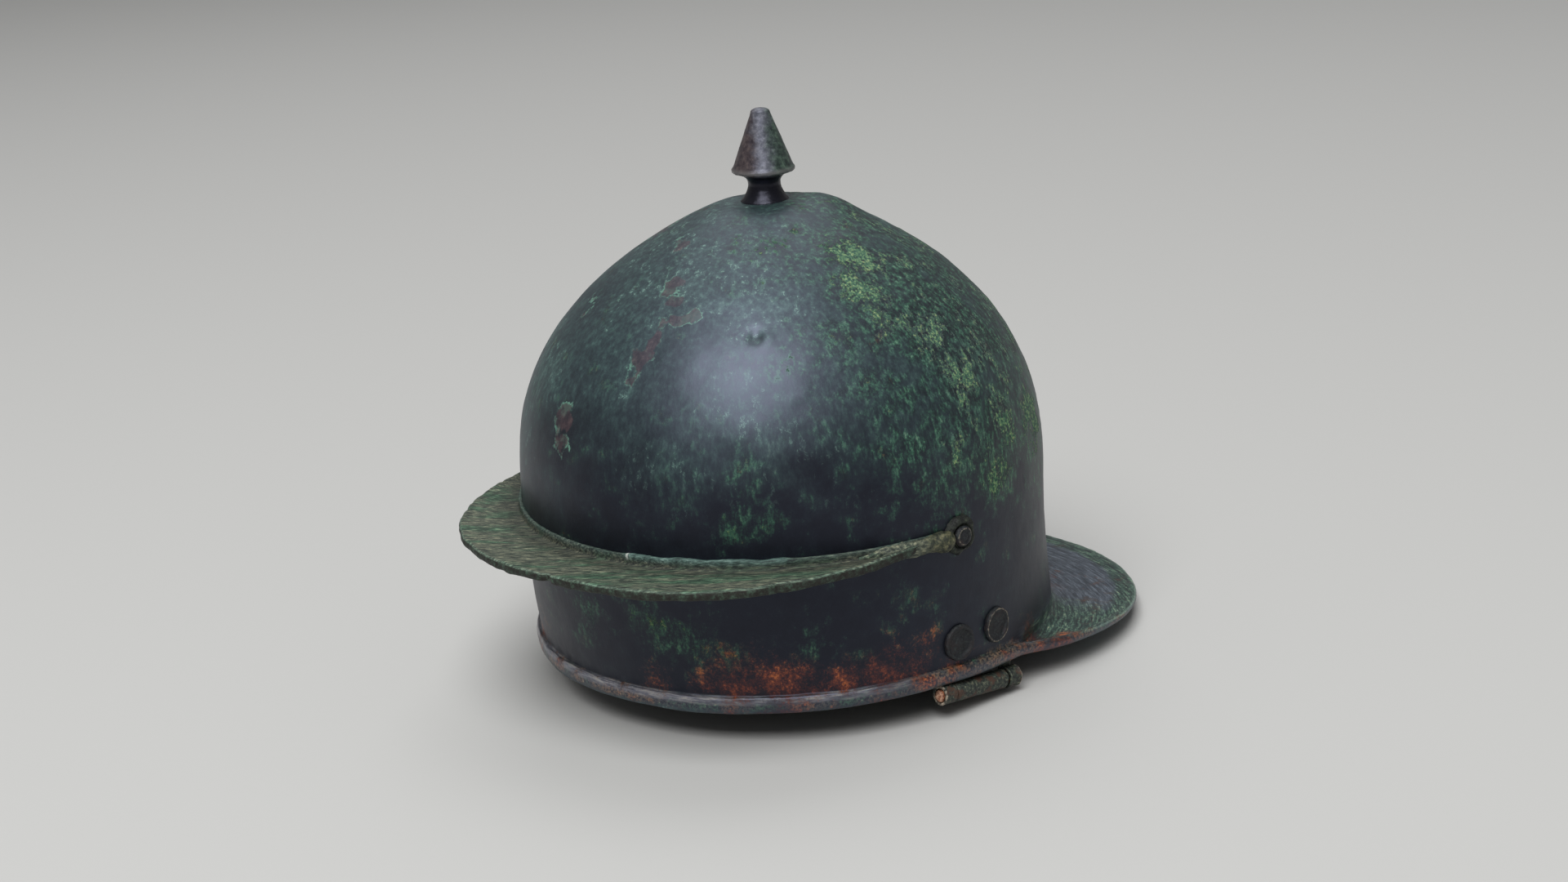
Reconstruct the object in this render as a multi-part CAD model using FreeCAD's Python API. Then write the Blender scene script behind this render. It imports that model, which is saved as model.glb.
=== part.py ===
import FreeCAD, Part
import math
import os

from FreeCAD import Vector

# A Roman bronze infantry helmet: hammered bowl with neck guard, brow guard, crown knob,
# the two cheek guard hinges and the tie ring.  Millimetres.  +Z is up along the bowl's
# axis, -Y is the front, +X the wearer's left, and z = 0 is the underside of the rim.

# Bowl
BOWL_WIDTH = 210.0
BOWL_LENGTH = 217.0
SHOULDER_HEIGHT = 63.0
CROWN_HEIGHT = 175.0
CROWN_FLAT_RADIUS = 12.0
SHEET = 1.3
RIM_WIDTH = 208.4
RIM_LENGTH = 215.0
RIM_SET_BACK = 4.5
RING_POLES = 16
SEAM_ANGLE = math.radians(90)
WALL_LEVELS = (-16.0, 0.0, 15.0, 31.0, 47.0, 63.0)
# Half width and height of the bowl above its shoulder.
CROWN_PROFILE = ((103.4, 87.5), (96.1, 112.0), (79.3, 136.5), (56.2, 155.7), (31.5, 169.7))

# Rim bead
BEAD_HEIGHT = 6.5
BEAD_PROUD = 2.0
BEAD_TAPER_START = -38.0
BEAD_TAPER_END = 14.0

# Neck guard
NECK_SHEET = 1.8
NECK_HALF_WIDTH = 116.0
NECK_HALF_LENGTH = 107.0
NECK_CENTRE = 55.0
NECK_SLOPE = math.atan(0.075)
NECK_BEND_START = -40.0
NECK_BEND_RADIUS = 936.0
COVE_RADIUS = 7.0
COVE_START = 5.0
COVE_SECTIONS = 17
COVE_BURIED = 0.8
COVE_EDGE = 0.1

# Brow guard
BROW_UNDERSIDE = 57.8
BROW_SHEET = 3.0
BROW_HALF_WIDTH = 101.5
BROW_REACH = 109.0
BROW_END = -30.0
BROW_ROUNDNESS = 2.35
BROW_POINTS = 29
FLANGE_TOP = 62.8
FLANGE_SHEET = 1.2
LUG_RADIUS = 6.5
LUG_SHEET = 1.8
LUG_ARM_RADIUS = 2.7
LUG_ARM_START = -42.0
LUG_ARM_RISE = 0.9
BROW_RIVET = (-20.5, 58.9)

# Crown knob
KNOB_TOP = 212.0
KNOB_FOOT_RADIUS = 9.0
KNOB_WAIST_RADIUS = 6.05
KNOB_WAIST_RISE = 6.2
KNOB_COLLAR_RADIUS = 8.2
KNOB_COLLAR_RISE = 10.6
# Radius and rise of a point on the hollow below the waist and on the one above it.
KNOB_LOWER_HOLLOW = (6.6, 2.6)
KNOB_UPPER_HOLLOW = (6.5, 8.8)
KNOB_SKIRT_RADIUS = 12.35
KNOB_SKIRT_RISE = 12.4
KNOB_SKIRT_EDGE = 1.4
KNOB_TIP_RADIUS = 3.9
KNOB_TIP_RISE = 1.6
TANG_RADIUS = 3.0
TANG_TAIL_RADIUS = 4.8
TANG_TAIL_END = 2.4
CREST_ROVE_RADIUS = 9.0
ROVE_SHEET = 1.2

# Cheek guard hinge, by the barrel's two ends on the wearer's left
BARREL_FRONT = Vector(99.0, -31.5, -4.0)
BARREL_REAR = Vector(105.5, 9.5, -8.5)
BARREL_RADIUS = 3.75
PIN_RADIUS = 2.45
PIN_PROUD = 0.4
PRESS = 0.02
RUNNING = 0.08
END_KNUCKLE = 6.3
KNUCKLE_GAP = 0.35
LEAF_SHEET = 1.2
LEAF_TOP = 25.0
LEAF_BOTTOM = 1.0
LEAF_CORNER = 7.0
LEAF_INWARDS = 8.0
LEAF_OUTWARDS = 6.0
STRAP_BOTTOM = -0.4
STRAP_BEND = 4.0
STRAP_LEAN = 8.0
STRAP_TOP = 12.0
# The torn lip's edge: place along the tube and reach inwards, as shares of their full size.
TORN_LIP = 2.2
TORN_EDGE = ((1.0, 0.72), (0.72, 0.95), (0.55, 0.8), (0.28, 1.0), (0.0, 0.85))
HINGE_RIVETS = {"front": (-21.8, 15.4), "rear": (-0.8, 16.2)}

# Rivets
RIVET_RADIUS = 2.0
HOLE_EASE = 0.05
FLAT_HEAD_RADIUS = 7.0
FLAT_HEAD_RISE = 1.2
FLAT_HEAD_BEVEL = 0.5
FLAT_HEAD_LIP = 1.4
FLAT_HEAD_STEP = 0.4
FLAT_HEAD_DISH = 0.35
FLAT_HEAD_DEPTH = 1.0
DOMED_HEAD_RADIUS = 4.0
DOMED_HEAD_RISE = 2.2
ROVE_RADIUS = 4.5
TAIL_RADIUS = 3.2
TAIL_RISE = 1.2

# Tie ring under the neck guard
STUD_Y = 126.0
STUD_RADIUS = 1.6
STUD_HEAD_RADIUS = 4.5
STUD_HEAD_RISE = 1.3
EYE_WIRE = 0.9
EYE_HOLE = 1.35
EYE_DROP = 1.55
RING_WIRE = 1.0
RING_RADIUS = 8.0

# Half the side of a cutting block, past every face of the helmet
BEYOND = 250.0
UP = Vector(0, 0, 1)
ACROSS = Vector(1, 0, 0)
ORIGIN = Vector(0, 0, 0)


def along(start, direction, distance):
    """The point a distance from start along a unit direction."""
    return start + Vector(direction) * distance


def wall_sizes(height):
    """Half width, half length and centre of the bowl's wall below its shoulder."""
    drop = ((SHOULDER_HEIGHT - height) / SHOULDER_HEIGHT) ** 2
    half_width = (BOWL_WIDTH - (BOWL_WIDTH - RIM_WIDTH) * drop) / 2
    half_length = (BOWL_LENGTH - (BOWL_LENGTH - RIM_LENGTH) * drop) / 2
    return half_width, half_length, RIM_SET_BACK * drop


def wall_point(y, height):
    """Where the outer wall stands at y, and its level outward normal, wearer's left."""
    half_width, half_length, centre = wall_sizes(height)
    across = math.sqrt(1 - ((y - centre) / half_length) ** 2)
    point = Vector(half_width * across, y, height)
    normal = Vector(across / half_width, (y - centre) / half_length ** 2, 0)
    return point, normal.normalize()


def oval_wire(half_width, half_length, centre, height):
    """A level ellipse, longer front to back, as a closed wire."""
    front = Vector(0, centre + half_length, height)
    side = Vector(-half_width, centre, height)
    return Part.Wire(Part.Ellipse(front, side, Vector(0, centre, height)).toShape())


def interpolated(points, parameters, first, last):
    """The cubic curve through the points, with the directions of its two ends."""
    curve = Part.BSplineCurve()
    curve.interpolate(Points=points, Parameters=parameters, InitialTangent=first, FinalTangent=last)
    return curve


def dome(inset):
    """The solid inside the bowl's outer skin moved inwards by inset.

    Its skin is made of level ellipses.  Their half widths, half lengths, heights and
    centres are cubic curves up the side, and each ellipse is an even ring of poles, set
    out by the factor that brings a cubic curve back to the ellipse.
    """
    stretch = BOWL_LENGTH / BOWL_WIDTH
    levels = [(*wall_sizes(height), height) for height in WALL_LEVELS]
    levels += [(radius, radius * stretch, 0, height) for radius, height in CROWN_PROFILE]
    levels.append((CROWN_FLAT_RADIUS, CROWN_FLAT_RADIUS * stretch, 0, CROWN_HEIGHT))
    parameters = [0.0]
    for low, high in zip(levels, levels[1:]):
        parameters.append(parameters[-1] + math.hypot(high[0] - low[0], high[3] - low[3]))
    inwards = Vector(-1, -stretch, 0)
    side = [Vector(width, length, height) for width, length, _, height in levels]
    side_curve = interpolated(side, parameters, UP, inwards)
    moved = []
    for point, parameter in zip(side, parameters):
        run = side_curve.tangent(parameter)[0]
        run = Vector(run.x, run.z, 0).normalize()
        moved.append(point + Vector(-run.y, -run.y, run.x) * inset)
    sizes = interpolated(moved, parameters, UP, inwards)
    centres = [Vector(level[2], point.x, point.z) for level, point in zip(levels, moved)]
    shifts = interpolated(centres, parameters, UP, Vector(0, -1, 0))
    spread = 3 / (2 + math.cos(2 * math.pi / RING_POLES))
    poles = []
    for step in range(RING_POLES):
        angle = SEAM_ANGLE + 2 * math.pi * step / RING_POLES
        across, along_y = spread * math.cos(angle), spread * math.sin(angle)
        ring = zip(sizes.getPoles(), shifts.getPoles())
        poles.append([Vector(a.x * across, b.x + a.y * along_y, a.z) for a, b in ring])
    skin = Part.BSplineSurface()
    skin.buildFromPolesMultsKnots(
        poles, [1] * (RING_POLES + 1), sizes.getMultiplicities(),
        list(range(RING_POLES + 1)), sizes.getKnots(), True, False, 3, 3,
    )
    side_face = skin.toShape()
    ends = [edge for edge in side_face.Edges if edge.BoundBox.ZLength < 0.01]
    caps = [Part.Face(Part.Wire(edge)) for edge in ends]
    shell = Part.makeShell([side_face, *caps])
    shell.sewShape()
    return Part.Solid(shell)


def polygon_prism(points, depth):
    """A flat polygon pushed along the vector depth."""
    return Part.Face(Part.makePolygon(list(points) + [points[0]])).extrude(depth)


def guard_line(rise):
    """Edges of the neck guard's side view, front to back, at a rise above its underside."""
    radius = NECK_BEND_RADIUS + rise
    hub = Vector(-BEYOND, NECK_BEND_START, -NECK_BEND_RADIUS)
    start = hub + Vector(0, 0, radius)
    middle = hub + Vector(0, math.sin(NECK_SLOPE / 2), math.cos(NECK_SLOPE / 2)) * radius
    end = hub + Vector(0, math.sin(NECK_SLOPE), math.cos(NECK_SLOPE)) * radius
    far = end + Vector(0, math.cos(NECK_SLOPE), -math.sin(NECK_SLOPE)) * BEYOND
    lead = Part.makeLine(start - Vector(0, BEYOND + NECK_BEND_START, 0), start)
    return [lead, Part.Arc(start, middle, end).toShape(), Part.makeLine(end, far)]


def guard_band(low, high):
    """Everything between two rises above the neck guard's underside, as wide as the part."""
    lower = guard_line(low)
    upper = guard_line(high)
    front = Part.makeLine(upper[0].Vertexes[0].Point, lower[0].Vertexes[0].Point)
    back = Part.makeLine(lower[2].Vertexes[1].Point, upper[2].Vertexes[1].Point)
    loop = Part.Wire(Part.__sortEdges__(lower + upper + [front, back]))
    return Part.Face(loop).extrude(ACROSS * 2 * BEYOND)


def underside_height(y):
    """Height of the rim's and the neck guard's underside at y."""
    run = max(y - NECK_BEND_START, 0)
    bend = NECK_BEND_RADIUS * math.sin(NECK_SLOPE)
    if run < bend:
        return math.sqrt(NECK_BEND_RADIUS ** 2 - run ** 2) - NECK_BEND_RADIUS
    return NECK_BEND_RADIUS * (math.cos(NECK_SLOPE) - 1) - (run - bend) * math.tan(NECK_SLOPE)


def cove_section(degrees):
    """The hollow corner between wall and neck guard, cut square to the wall."""
    angle = math.radians(degrees)
    radius = COVE_RADIUS * math.sqrt(math.sin(angle))
    _, half_length, centre = wall_sizes(0)
    y = centre + half_length * math.sin(angle)
    top = underside_height(y) + NECK_SHEET
    half_width, half_length, centre = wall_sizes(top + radius)
    foot = Vector(half_width * math.cos(angle), centre + half_length * math.sin(angle), top)
    out = Vector(math.cos(angle) / half_width, math.sin(angle) / half_length, 0).normalize()

    def corner(distance, rise):
        return foot + out * distance + UP * rise

    sweep = radius * (1 - math.sqrt(0.5))
    low = corner(-COVE_BURIED, -COVE_BURIED)
    inner = corner(-COVE_BURIED, radius)
    upper = corner(-COVE_EDGE, radius)
    outer = corner(radius, -COVE_EDGE)
    under = corner(radius, -COVE_BURIED)
    hollow = Part.Arc(upper, corner(sweep, sweep), outer).toShape()
    sides = [Part.makeLine(low, inner), Part.makeLine(inner, upper), hollow]
    return Part.Wire(sides + [Part.makeLine(outer, under), Part.makeLine(under, low)])


def rim_bead(inside):
    """Half round bead round the outside of the rim, fading into the neck guard's edge."""
    half_width, half_length, centre = wall_sizes(0)
    wire = oval_wire(half_width + BEAD_PROUD, half_length + BEAD_PROUD, centre, 0)
    bead = Part.Face(wire).extrude(UP * BEAD_HEIGHT)
    rims = [edge for edge in bead.Edges if isinstance(edge.Curve, Part.Ellipse)]
    bead = bead.makeFillet(BEAD_PROUD * 0.95, rims)
    behind = (
        Vector(-BEYOND, BEAD_TAPER_START, BEAD_HEIGHT),
        Vector(-BEYOND, BEAD_TAPER_END, NECK_SHEET),
        Vector(-BEYOND, BEAD_TAPER_END, -BEYOND),
        Vector(-BEYOND, BEYOND, -BEYOND),
        Vector(-BEYOND, BEYOND, BEYOND),
        Vector(-BEYOND, BEAD_TAPER_START, BEYOND),
    )
    return bead.cut(polygon_prism(behind, ACROSS * 2 * BEYOND)).cut(inside)


def make_bowl(outside, inside, holes):
    """Wall, neck guard, cove and bead as one sheet, pierced for the rivets and the tang."""
    plan = Part.Ellipse(
        Vector(NECK_HALF_WIDTH, NECK_CENTRE, -BEYOND),
        Vector(0, NECK_CENTRE + NECK_HALF_LENGTH, -BEYOND),
        Vector(0, NECK_CENTRE, -BEYOND),
    )
    footprint = Part.Face(Part.Wire(plan.toShape())).extrude(UP * 2 * BEYOND)
    guard = footprint.common(guard_band(0, NECK_SHEET)).cut(inside)
    spread = (180 - 2 * COVE_START) / (COVE_SECTIONS - 1)
    sections = [cove_section(COVE_START + spread * step) for step in range(COVE_SECTIONS)]
    cove = Part.makeLoft(sections, True, False)
    bowl = outside.cut(inside)
    for piece in (guard, rim_bead(inside), cove):
        bowl = bowl.fuse(piece)
    bowl = bowl.cut(guard_band(-BEYOND, 0))
    for hole in holes:
        bowl = bowl.cut(hole)
    return bowl


def both_sides(shape):
    """A shape made on the wearer's left, and its mirror image."""
    return shape, shape.mirror(ORIGIN, ACROSS)


def rivet_hole(y, height):
    """The hole for a rivet's shank, square to the wall and right through its sheets."""
    point, normal = wall_point(y, height)
    depth = 2 * LUG_RADIUS
    return Part.makeCylinder(RIVET_RADIUS + HOLE_EASE, 2 * depth, point - normal * depth, normal)


def rounded(share):
    """A sine or cosine drawn out so that the brow guard's outline is fuller than an oval."""
    return math.copysign(abs(share) ** (2 / BROW_ROUNDNESS), share)


def make_brow_guard(outside):
    """Crescent plate, upturned flange and end lugs, all cut to lie on the bowl."""
    outline = []
    for step in range(BROW_POINTS):
        angle = math.pi * step / (BROW_POINTS - 1)
        x = BROW_HALF_WIDTH * rounded(math.cos(angle))
        y = BROW_END - BROW_REACH * rounded(math.sin(angle))
        outline.append(Vector(x, y, BROW_UNDERSIDE))
    edge = Part.BSplineCurve()
    edge.interpolate(outline)
    chord = Part.makeLine(outline[-1], outline[0])
    plate = Part.Face(Part.Wire([edge.toShape(), chord])).extrude(UP * BROW_SHEET)

    half_width, half_length, centre = wall_sizes(BROW_UNDERSIDE)
    half_width += FLANGE_SHEET
    half_length += FLANGE_SHEET
    collar = Part.Face(oval_wire(half_width, half_length, centre, BROW_UNDERSIDE))
    collar = collar.extrude(UP * (FLANGE_TOP - BROW_UNDERSIDE))
    corner = Vector(-BEYOND, BROW_END - BEYOND, -BEYOND)
    pieces = [collar.common(Part.makeBox(2 * BEYOND, BEYOND, 2 * BEYOND, corner))]

    point, normal = wall_point(*BROW_RIVET)
    start = wall_point(LUG_ARM_START, BROW_UNDERSIDE)[0] + UP * BROW_SHEET / 2
    run = along(point, normal, LUG_ARM_RISE) - start
    base = point - normal * LUG_SHEET
    pieces += both_sides(Part.makeCylinder(LUG_RADIUS, 2 * LUG_SHEET, base, normal))
    pieces += both_sides(Part.makeCylinder(LUG_ARM_RADIUS, run.Length, start, run))
    pieces += both_sides(Part.makeSphere(LUG_ARM_RADIUS, start))
    guard = plate.fuse(pieces).cut(outside).removeSplitter()

    base = along(point, normal, LUG_SHEET)
    seat = Part.makeCylinder(DOMED_HEAD_RADIUS + HOLE_EASE, LUG_RADIUS, base, normal)
    for cutter in both_sides(seat) + both_sides(rivet_hole(*BROW_RIVET)):
        guard = guard.cut(cutter)
    return guard


def turned(edges, base, direction):
    """A closed outline in the XZ plane turned about Z, then stood on base along direction."""
    solid = Part.Face(Part.Wire(edges)).revolve(ORIGIN, UP, 360)
    solid.Placement = FreeCAD.Placement(base, FreeCAD.Rotation(UP, direction))
    return solid


def cap_arc(radius, height, rise):
    """Arc in the XZ plane, centred on the axis, that closes a round head from its rim up."""
    ball = (radius ** 2 + rise ** 2) / (2 * rise)
    half = math.asin(radius / ball) / 2
    middle = Vector(ball * math.sin(half), 0, height + rise - ball + ball * math.cos(half))
    return Part.Arc(Vector(radius, 0, height), middle, Vector(0, 0, height + rise)).toShape()


def domed(base, direction, radius, rise):
    """A round head: the part of a ball that stands above a plane."""
    foot = Part.makeLine(ORIGIN, Vector(radius, 0, 0))
    axis = Part.makeLine(Vector(0, 0, rise), ORIGIN)
    return turned([foot, cap_arc(radius, 0, rise), axis], base, direction)


def flat_head(base, direction):
    """A flat round head with a bevelled rim, a little dished, and deep enough to be cut."""
    lip = FLAT_HEAD_RADIUS - FLAT_HEAD_LIP
    outline = (
        (0, -FLAT_HEAD_DEPTH),
        (FLAT_HEAD_RADIUS, -FLAT_HEAD_DEPTH),
        (FLAT_HEAD_RADIUS, FLAT_HEAD_RISE - FLAT_HEAD_BEVEL),
        (FLAT_HEAD_RADIUS - FLAT_HEAD_BEVEL, FLAT_HEAD_RISE),
        (lip, FLAT_HEAD_RISE),
        (lip - FLAT_HEAD_STEP, FLAT_HEAD_RISE - FLAT_HEAD_DISH),
        (0, FLAT_HEAD_RISE - FLAT_HEAD_DISH),
        (0, -FLAT_HEAD_DEPTH),
    )
    points = [Vector(radius, 0, height) for radius, height in outline]
    edges = [Part.makeLine(first, second) for first, second in zip(points, points[1:])]
    return turned(edges, base, direction)


def make_rivet(y, height, seat, layers, outside, flat):
    """A rivet square to the wall: head on the seat, shank, and tail on the rove inside.

    seat is how far the head's seat stands off the outer wall, layers how far inside the
    outer wall the rove lies, and outside the solid that a flat head is cut to.
    """
    point, normal = wall_point(y, height)
    if flat:
        head = flat_head(point, normal).cut(outside)
    else:
        head = domed(along(point, normal, seat), normal, DOMED_HEAD_RADIUS, DOMED_HEAD_RISE)
    inner = layers + ROVE_SHEET
    base = along(point, normal, -inner)
    shank = Part.makeCylinder(RIVET_RADIUS, inner + seat + FLAT_HEAD_RISE / 2, base, normal)
    tail = domed(base, -normal, TAIL_RADIUS, TAIL_RISE)
    return head.fuse(shank).fuse(tail)


def make_rove(y, height, layers, inside):
    """A washer on the inner face of the last sheet, cut to that sheet's curve."""
    point, normal = wall_point(y, height)
    base = along(point, normal, -layers - ROVE_SHEET)
    disc = Part.makeCylinder(ROVE_RADIUS, 2 * ROVE_SHEET, base, normal)
    return disc.common(inside).cut(rivet_hole(y, height))


def make_crest_knob():
    """Turned knob: foot, waist, skirt and cone, with its tang and peened tail below."""
    tail = -SHEET - ROVE_SHEET
    tip = KNOB_TOP - CROWN_HEIGHT - KNOB_TIP_RISE

    def ring(radius, rise):
        return Vector(radius, 0, CROWN_HEIGHT + rise)

    low = ring(0, tail - TAIL_RISE)
    foot = ring(KNOB_FOOT_RADIUS, 0)
    waist = ring(KNOB_WAIST_RADIUS, KNOB_WAIST_RISE)
    under = ring(KNOB_COLLAR_RADIUS, KNOB_COLLAR_RISE)
    lower = [
        low,
        ring(TANG_TAIL_END, tail - TAIL_RISE),
        ring(TANG_TAIL_RADIUS, tail - TAIL_RISE / 3),
        ring(TANG_TAIL_RADIUS, tail),
        ring(TANG_RADIUS, tail),
        ring(TANG_RADIUS, 0),
        foot,
    ]
    upper = [
        under,
        ring(KNOB_SKIRT_RADIUS, KNOB_SKIRT_RISE),
        ring(KNOB_SKIRT_RADIUS, KNOB_SKIRT_RISE + KNOB_SKIRT_EDGE),
        ring(KNOB_TIP_RADIUS, tip),
    ]
    edges = [Part.makeLine(first, second) for first, second in zip(lower, lower[1:])]
    edges.append(Part.Arc(foot, ring(*KNOB_LOWER_HOLLOW), waist).toShape())
    edges.append(Part.Arc(waist, ring(*KNOB_UPPER_HOLLOW), under).toShape())
    edges += [Part.makeLine(first, second) for first, second in zip(upper, upper[1:])]
    edges.append(cap_arc(KNOB_TIP_RADIUS, CROWN_HEIGHT + tip, KNOB_TIP_RISE))
    edges.append(Part.makeLine(Vector(0, 0, KNOB_TOP), low))
    return turned(edges, ORIGIN, UP)


def make_crest_rove(inside):
    """Washer under the crown, which the knob's tang is peened over."""
    base = Vector(0, 0, CROWN_HEIGHT - SHEET - ROVE_SHEET)
    disc = Part.makeCylinder(CREST_ROVE_RADIUS, ROVE_SHEET, base)
    bore = Part.makeCylinder(TANG_RADIUS + HOLE_EASE, ROVE_SHEET, base)
    return disc.cut(bore).common(inside)


def barrel_frame():
    """Middle of the hinge barrel, its line, and the outward and upward directions."""
    line = (BARREL_REAR - BARREL_FRONT).normalize()
    out = line.cross(UP).normalize()
    return (BARREL_FRONT + BARREL_REAR) * 0.5, line, out, out.cross(line)


def make_hinge_leaf(inside, leaf_inside, holes):
    """Plate inside the wall, with a strap at each end rolled round the pin."""
    middle, line, out, up = barrel_frame()
    half = (BARREL_REAR - BARREL_FRONT).Length / 2
    level = Vector(line.x, line.y, 0).normalize()
    base = Vector(middle.x, middle.y, LEAF_BOTTOM) - out * LEAF_INWARDS
    corners = [along(base, level, -half), along(base, level, half)]
    corners += [corner + UP * (LEAF_TOP - LEAF_BOTTOM) for corner in reversed(corners)]
    blank = polygon_prism(corners, out * (LEAF_INWARDS + LEAF_OUTWARDS))
    sides = [e for e in blank.Edges if e.tangentAt(e.FirstParameter).cross(out).Length < 0.01]
    tops = [e for e in sides if e.CenterOfMass.z > (LEAF_BOTTOM + LEAF_TOP) / 2]
    plate = blank.makeFillet(LEAF_CORNER, tops).common(inside).cut(leaf_inside)
    section = (
        (-BARREL_RADIUS, STRAP_BOTTOM),
        (-BARREL_RADIUS + LEAF_SHEET, STRAP_BOTTOM),
        (-BARREL_RADIUS + LEAF_SHEET, STRAP_BEND),
        (-BARREL_RADIUS + 2 * LEAF_SHEET, STRAP_LEAN),
        (-BARREL_RADIUS + 2 * LEAF_SHEET, STRAP_TOP),
        (-BARREL_RADIUS, STRAP_TOP),
    )
    pieces = []
    bores = []
    for start in (-half, half - END_KNUCKLE):
        edge = along(middle, line, start)
        outline = [edge + out * across + up * rise for across, rise in section]
        pieces.append(polygon_prism(outline, line * END_KNUCKLE).common(inside))
        pieces.append(Part.makeCylinder(BARREL_RADIUS, END_KNUCKLE, edge, line))
        bores.append(Part.makeCylinder(PIN_RADIUS - PRESS, END_KNUCKLE + 2, edge - line, line))
    leaf = plate.fuse(pieces).cut(bores).removeSplitter()
    return leaf.cut(holes)


def make_cheek_knuckle():
    """The torn cheek guard's knuckle: a tube on the pin with a ragged lip turned inwards."""
    middle, line, out, up = barrel_frame()
    length = (BARREL_REAR - BARREL_FRONT).Length - 2 * (END_KNUCKLE + KNUCKLE_GAP)
    start = along(middle, line, -length / 2)
    tube = Part.makeCylinder(BARREL_RADIUS, length, start, line)
    base = start - up * BARREL_RADIUS
    reach = BARREL_RADIUS + TORN_LIP
    tear = [base, along(base, line, length)]
    tear += [base + line * length * place - out * reach * share for place, share in TORN_EDGE]
    lip = polygon_prism(tear, up * LEAF_SHEET)
    bore = Part.makeCylinder(PIN_RADIUS + RUNNING, length + 2, start - line, line)
    return tube.fuse(lip).cut(bore).removeSplitter()


def make_hinge_pin():
    """Straight iron pin, a little longer than the barrel."""
    _, line, _, _ = barrel_frame()
    length = (BARREL_REAR - BARREL_FRONT).Length + 2 * PIN_PROUD
    return Part.makeCylinder(PIN_RADIUS, length, BARREL_FRONT - line * PIN_PROUD, line)


def stud_frame():
    """Middle of the stud on the neck guard's underside, and the plate's two directions."""
    down = Vector(0, -math.sin(NECK_SLOPE), -math.cos(NECK_SLOPE))
    back = Vector(0, math.cos(NECK_SLOPE), -math.sin(NECK_SLOPE))
    return Vector(0, STUD_Y, underside_height(STUD_Y)), down, back


def make_tie_stud():
    """Stud through the neck guard with a low domed head on top and an eye below."""
    base, down, _ = stud_frame()
    top = along(base, -down, NECK_SHEET)
    head = domed(top, -down, STUD_HEAD_RADIUS, STUD_HEAD_RISE)
    eye_centre = along(base, down, EYE_DROP)
    shank = Part.makeCylinder(STUD_RADIUS, NECK_SHEET + EYE_DROP, top, down)
    eye = Part.makeTorus(EYE_HOLE + EYE_WIRE, EYE_WIRE, eye_centre, ACROSS)
    eye = eye.common(Part.makeCylinder(STUD_HEAD_RADIUS, 2 * STUD_HEAD_RADIUS, base, down))
    start = eye_centre - ACROSS * STUD_HEAD_RADIUS
    bore = Part.makeCylinder(EYE_HOLE, 2 * STUD_HEAD_RADIUS, start, ACROSS)
    return head.fuse([shank, eye]).cut(bore).removeSplitter()


def make_tie_ring():
    """Round ring through the stud's eye, folded back under the neck guard."""
    base, down, back = stud_frame()
    centre = along(along(base, down, EYE_DROP), back, RING_RADIUS)
    return Part.makeTorus(RING_RADIUS, RING_WIRE, centre, down)


def export(name, shape):
    """Write one node's solid, and print its volume in cubic centimetres."""
    if len(shape.Solids) != 1 or not shape.isValid():
        raise ValueError(name + " is not one valid solid")
    print(name, round(shape.Volume / 1000, 3))
    shape.Solids[0].exportStep("parts/" + name + ".step")


def main():
    os.makedirs("parts", exist_ok=True)
    outside = dome(0)
    inside = dome(SHEET)
    leaf_inside = dome(SHEET + LEAF_SHEET)

    rivet_holes = []
    for place in [BROW_RIVET, *HINGE_RIVETS.values()]:
        rivet_holes += both_sides(rivet_hole(*place))
    crown = Vector(0, 0, CROWN_HEIGHT - CREST_ROVE_RADIUS)
    base, down, _ = stud_frame()
    base = base - down * STUD_HEAD_RADIUS
    tang_hole = Part.makeCylinder(TANG_RADIUS + HOLE_EASE, 2 * CREST_ROVE_RADIUS, crown)
    stud_hole = Part.makeCylinder(STUD_RADIUS + HOLE_EASE, 2 * STUD_HEAD_RADIUS, base, down)
    export("bowl", make_bowl(outside, inside, rivet_holes + [tang_hole, stud_hole]))

    export("brow_guard", make_brow_guard(outside))
    export("crest_knob", make_crest_knob())
    export("crest_rove", make_crest_rove(inside))
    export("tie_stud", make_tie_stud())
    export("tie_ring", make_tie_ring())

    left = {
        "brow_rivet_left": make_rivet(*BROW_RIVET, LUG_SHEET, SHEET, outside, False),
        "brow_rove_left": make_rove(*BROW_RIVET, SHEET, inside),
        "hinge_leaf_left": make_hinge_leaf(inside, leaf_inside, rivet_holes),
        "hinge_pin_left": make_hinge_pin(),
        "cheek_knuckle_left": make_cheek_knuckle(),
    }
    for end, place in HINGE_RIVETS.items():
        layers = SHEET + LEAF_SHEET
        left["hinge_rivet_left_" + end] = make_rivet(*place, 0, layers, outside, True)
        left["hinge_rove_left_" + end] = make_rove(*place, layers, leaf_inside)
    for name, shape in left.items():
        export(name, shape)
        export(name.replace("left", "right"), both_sides(shape)[1])


main()
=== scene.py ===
import math
from functools import partial

import bpy
import numpy as np
from mathutils import Matrix, Vector


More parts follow.
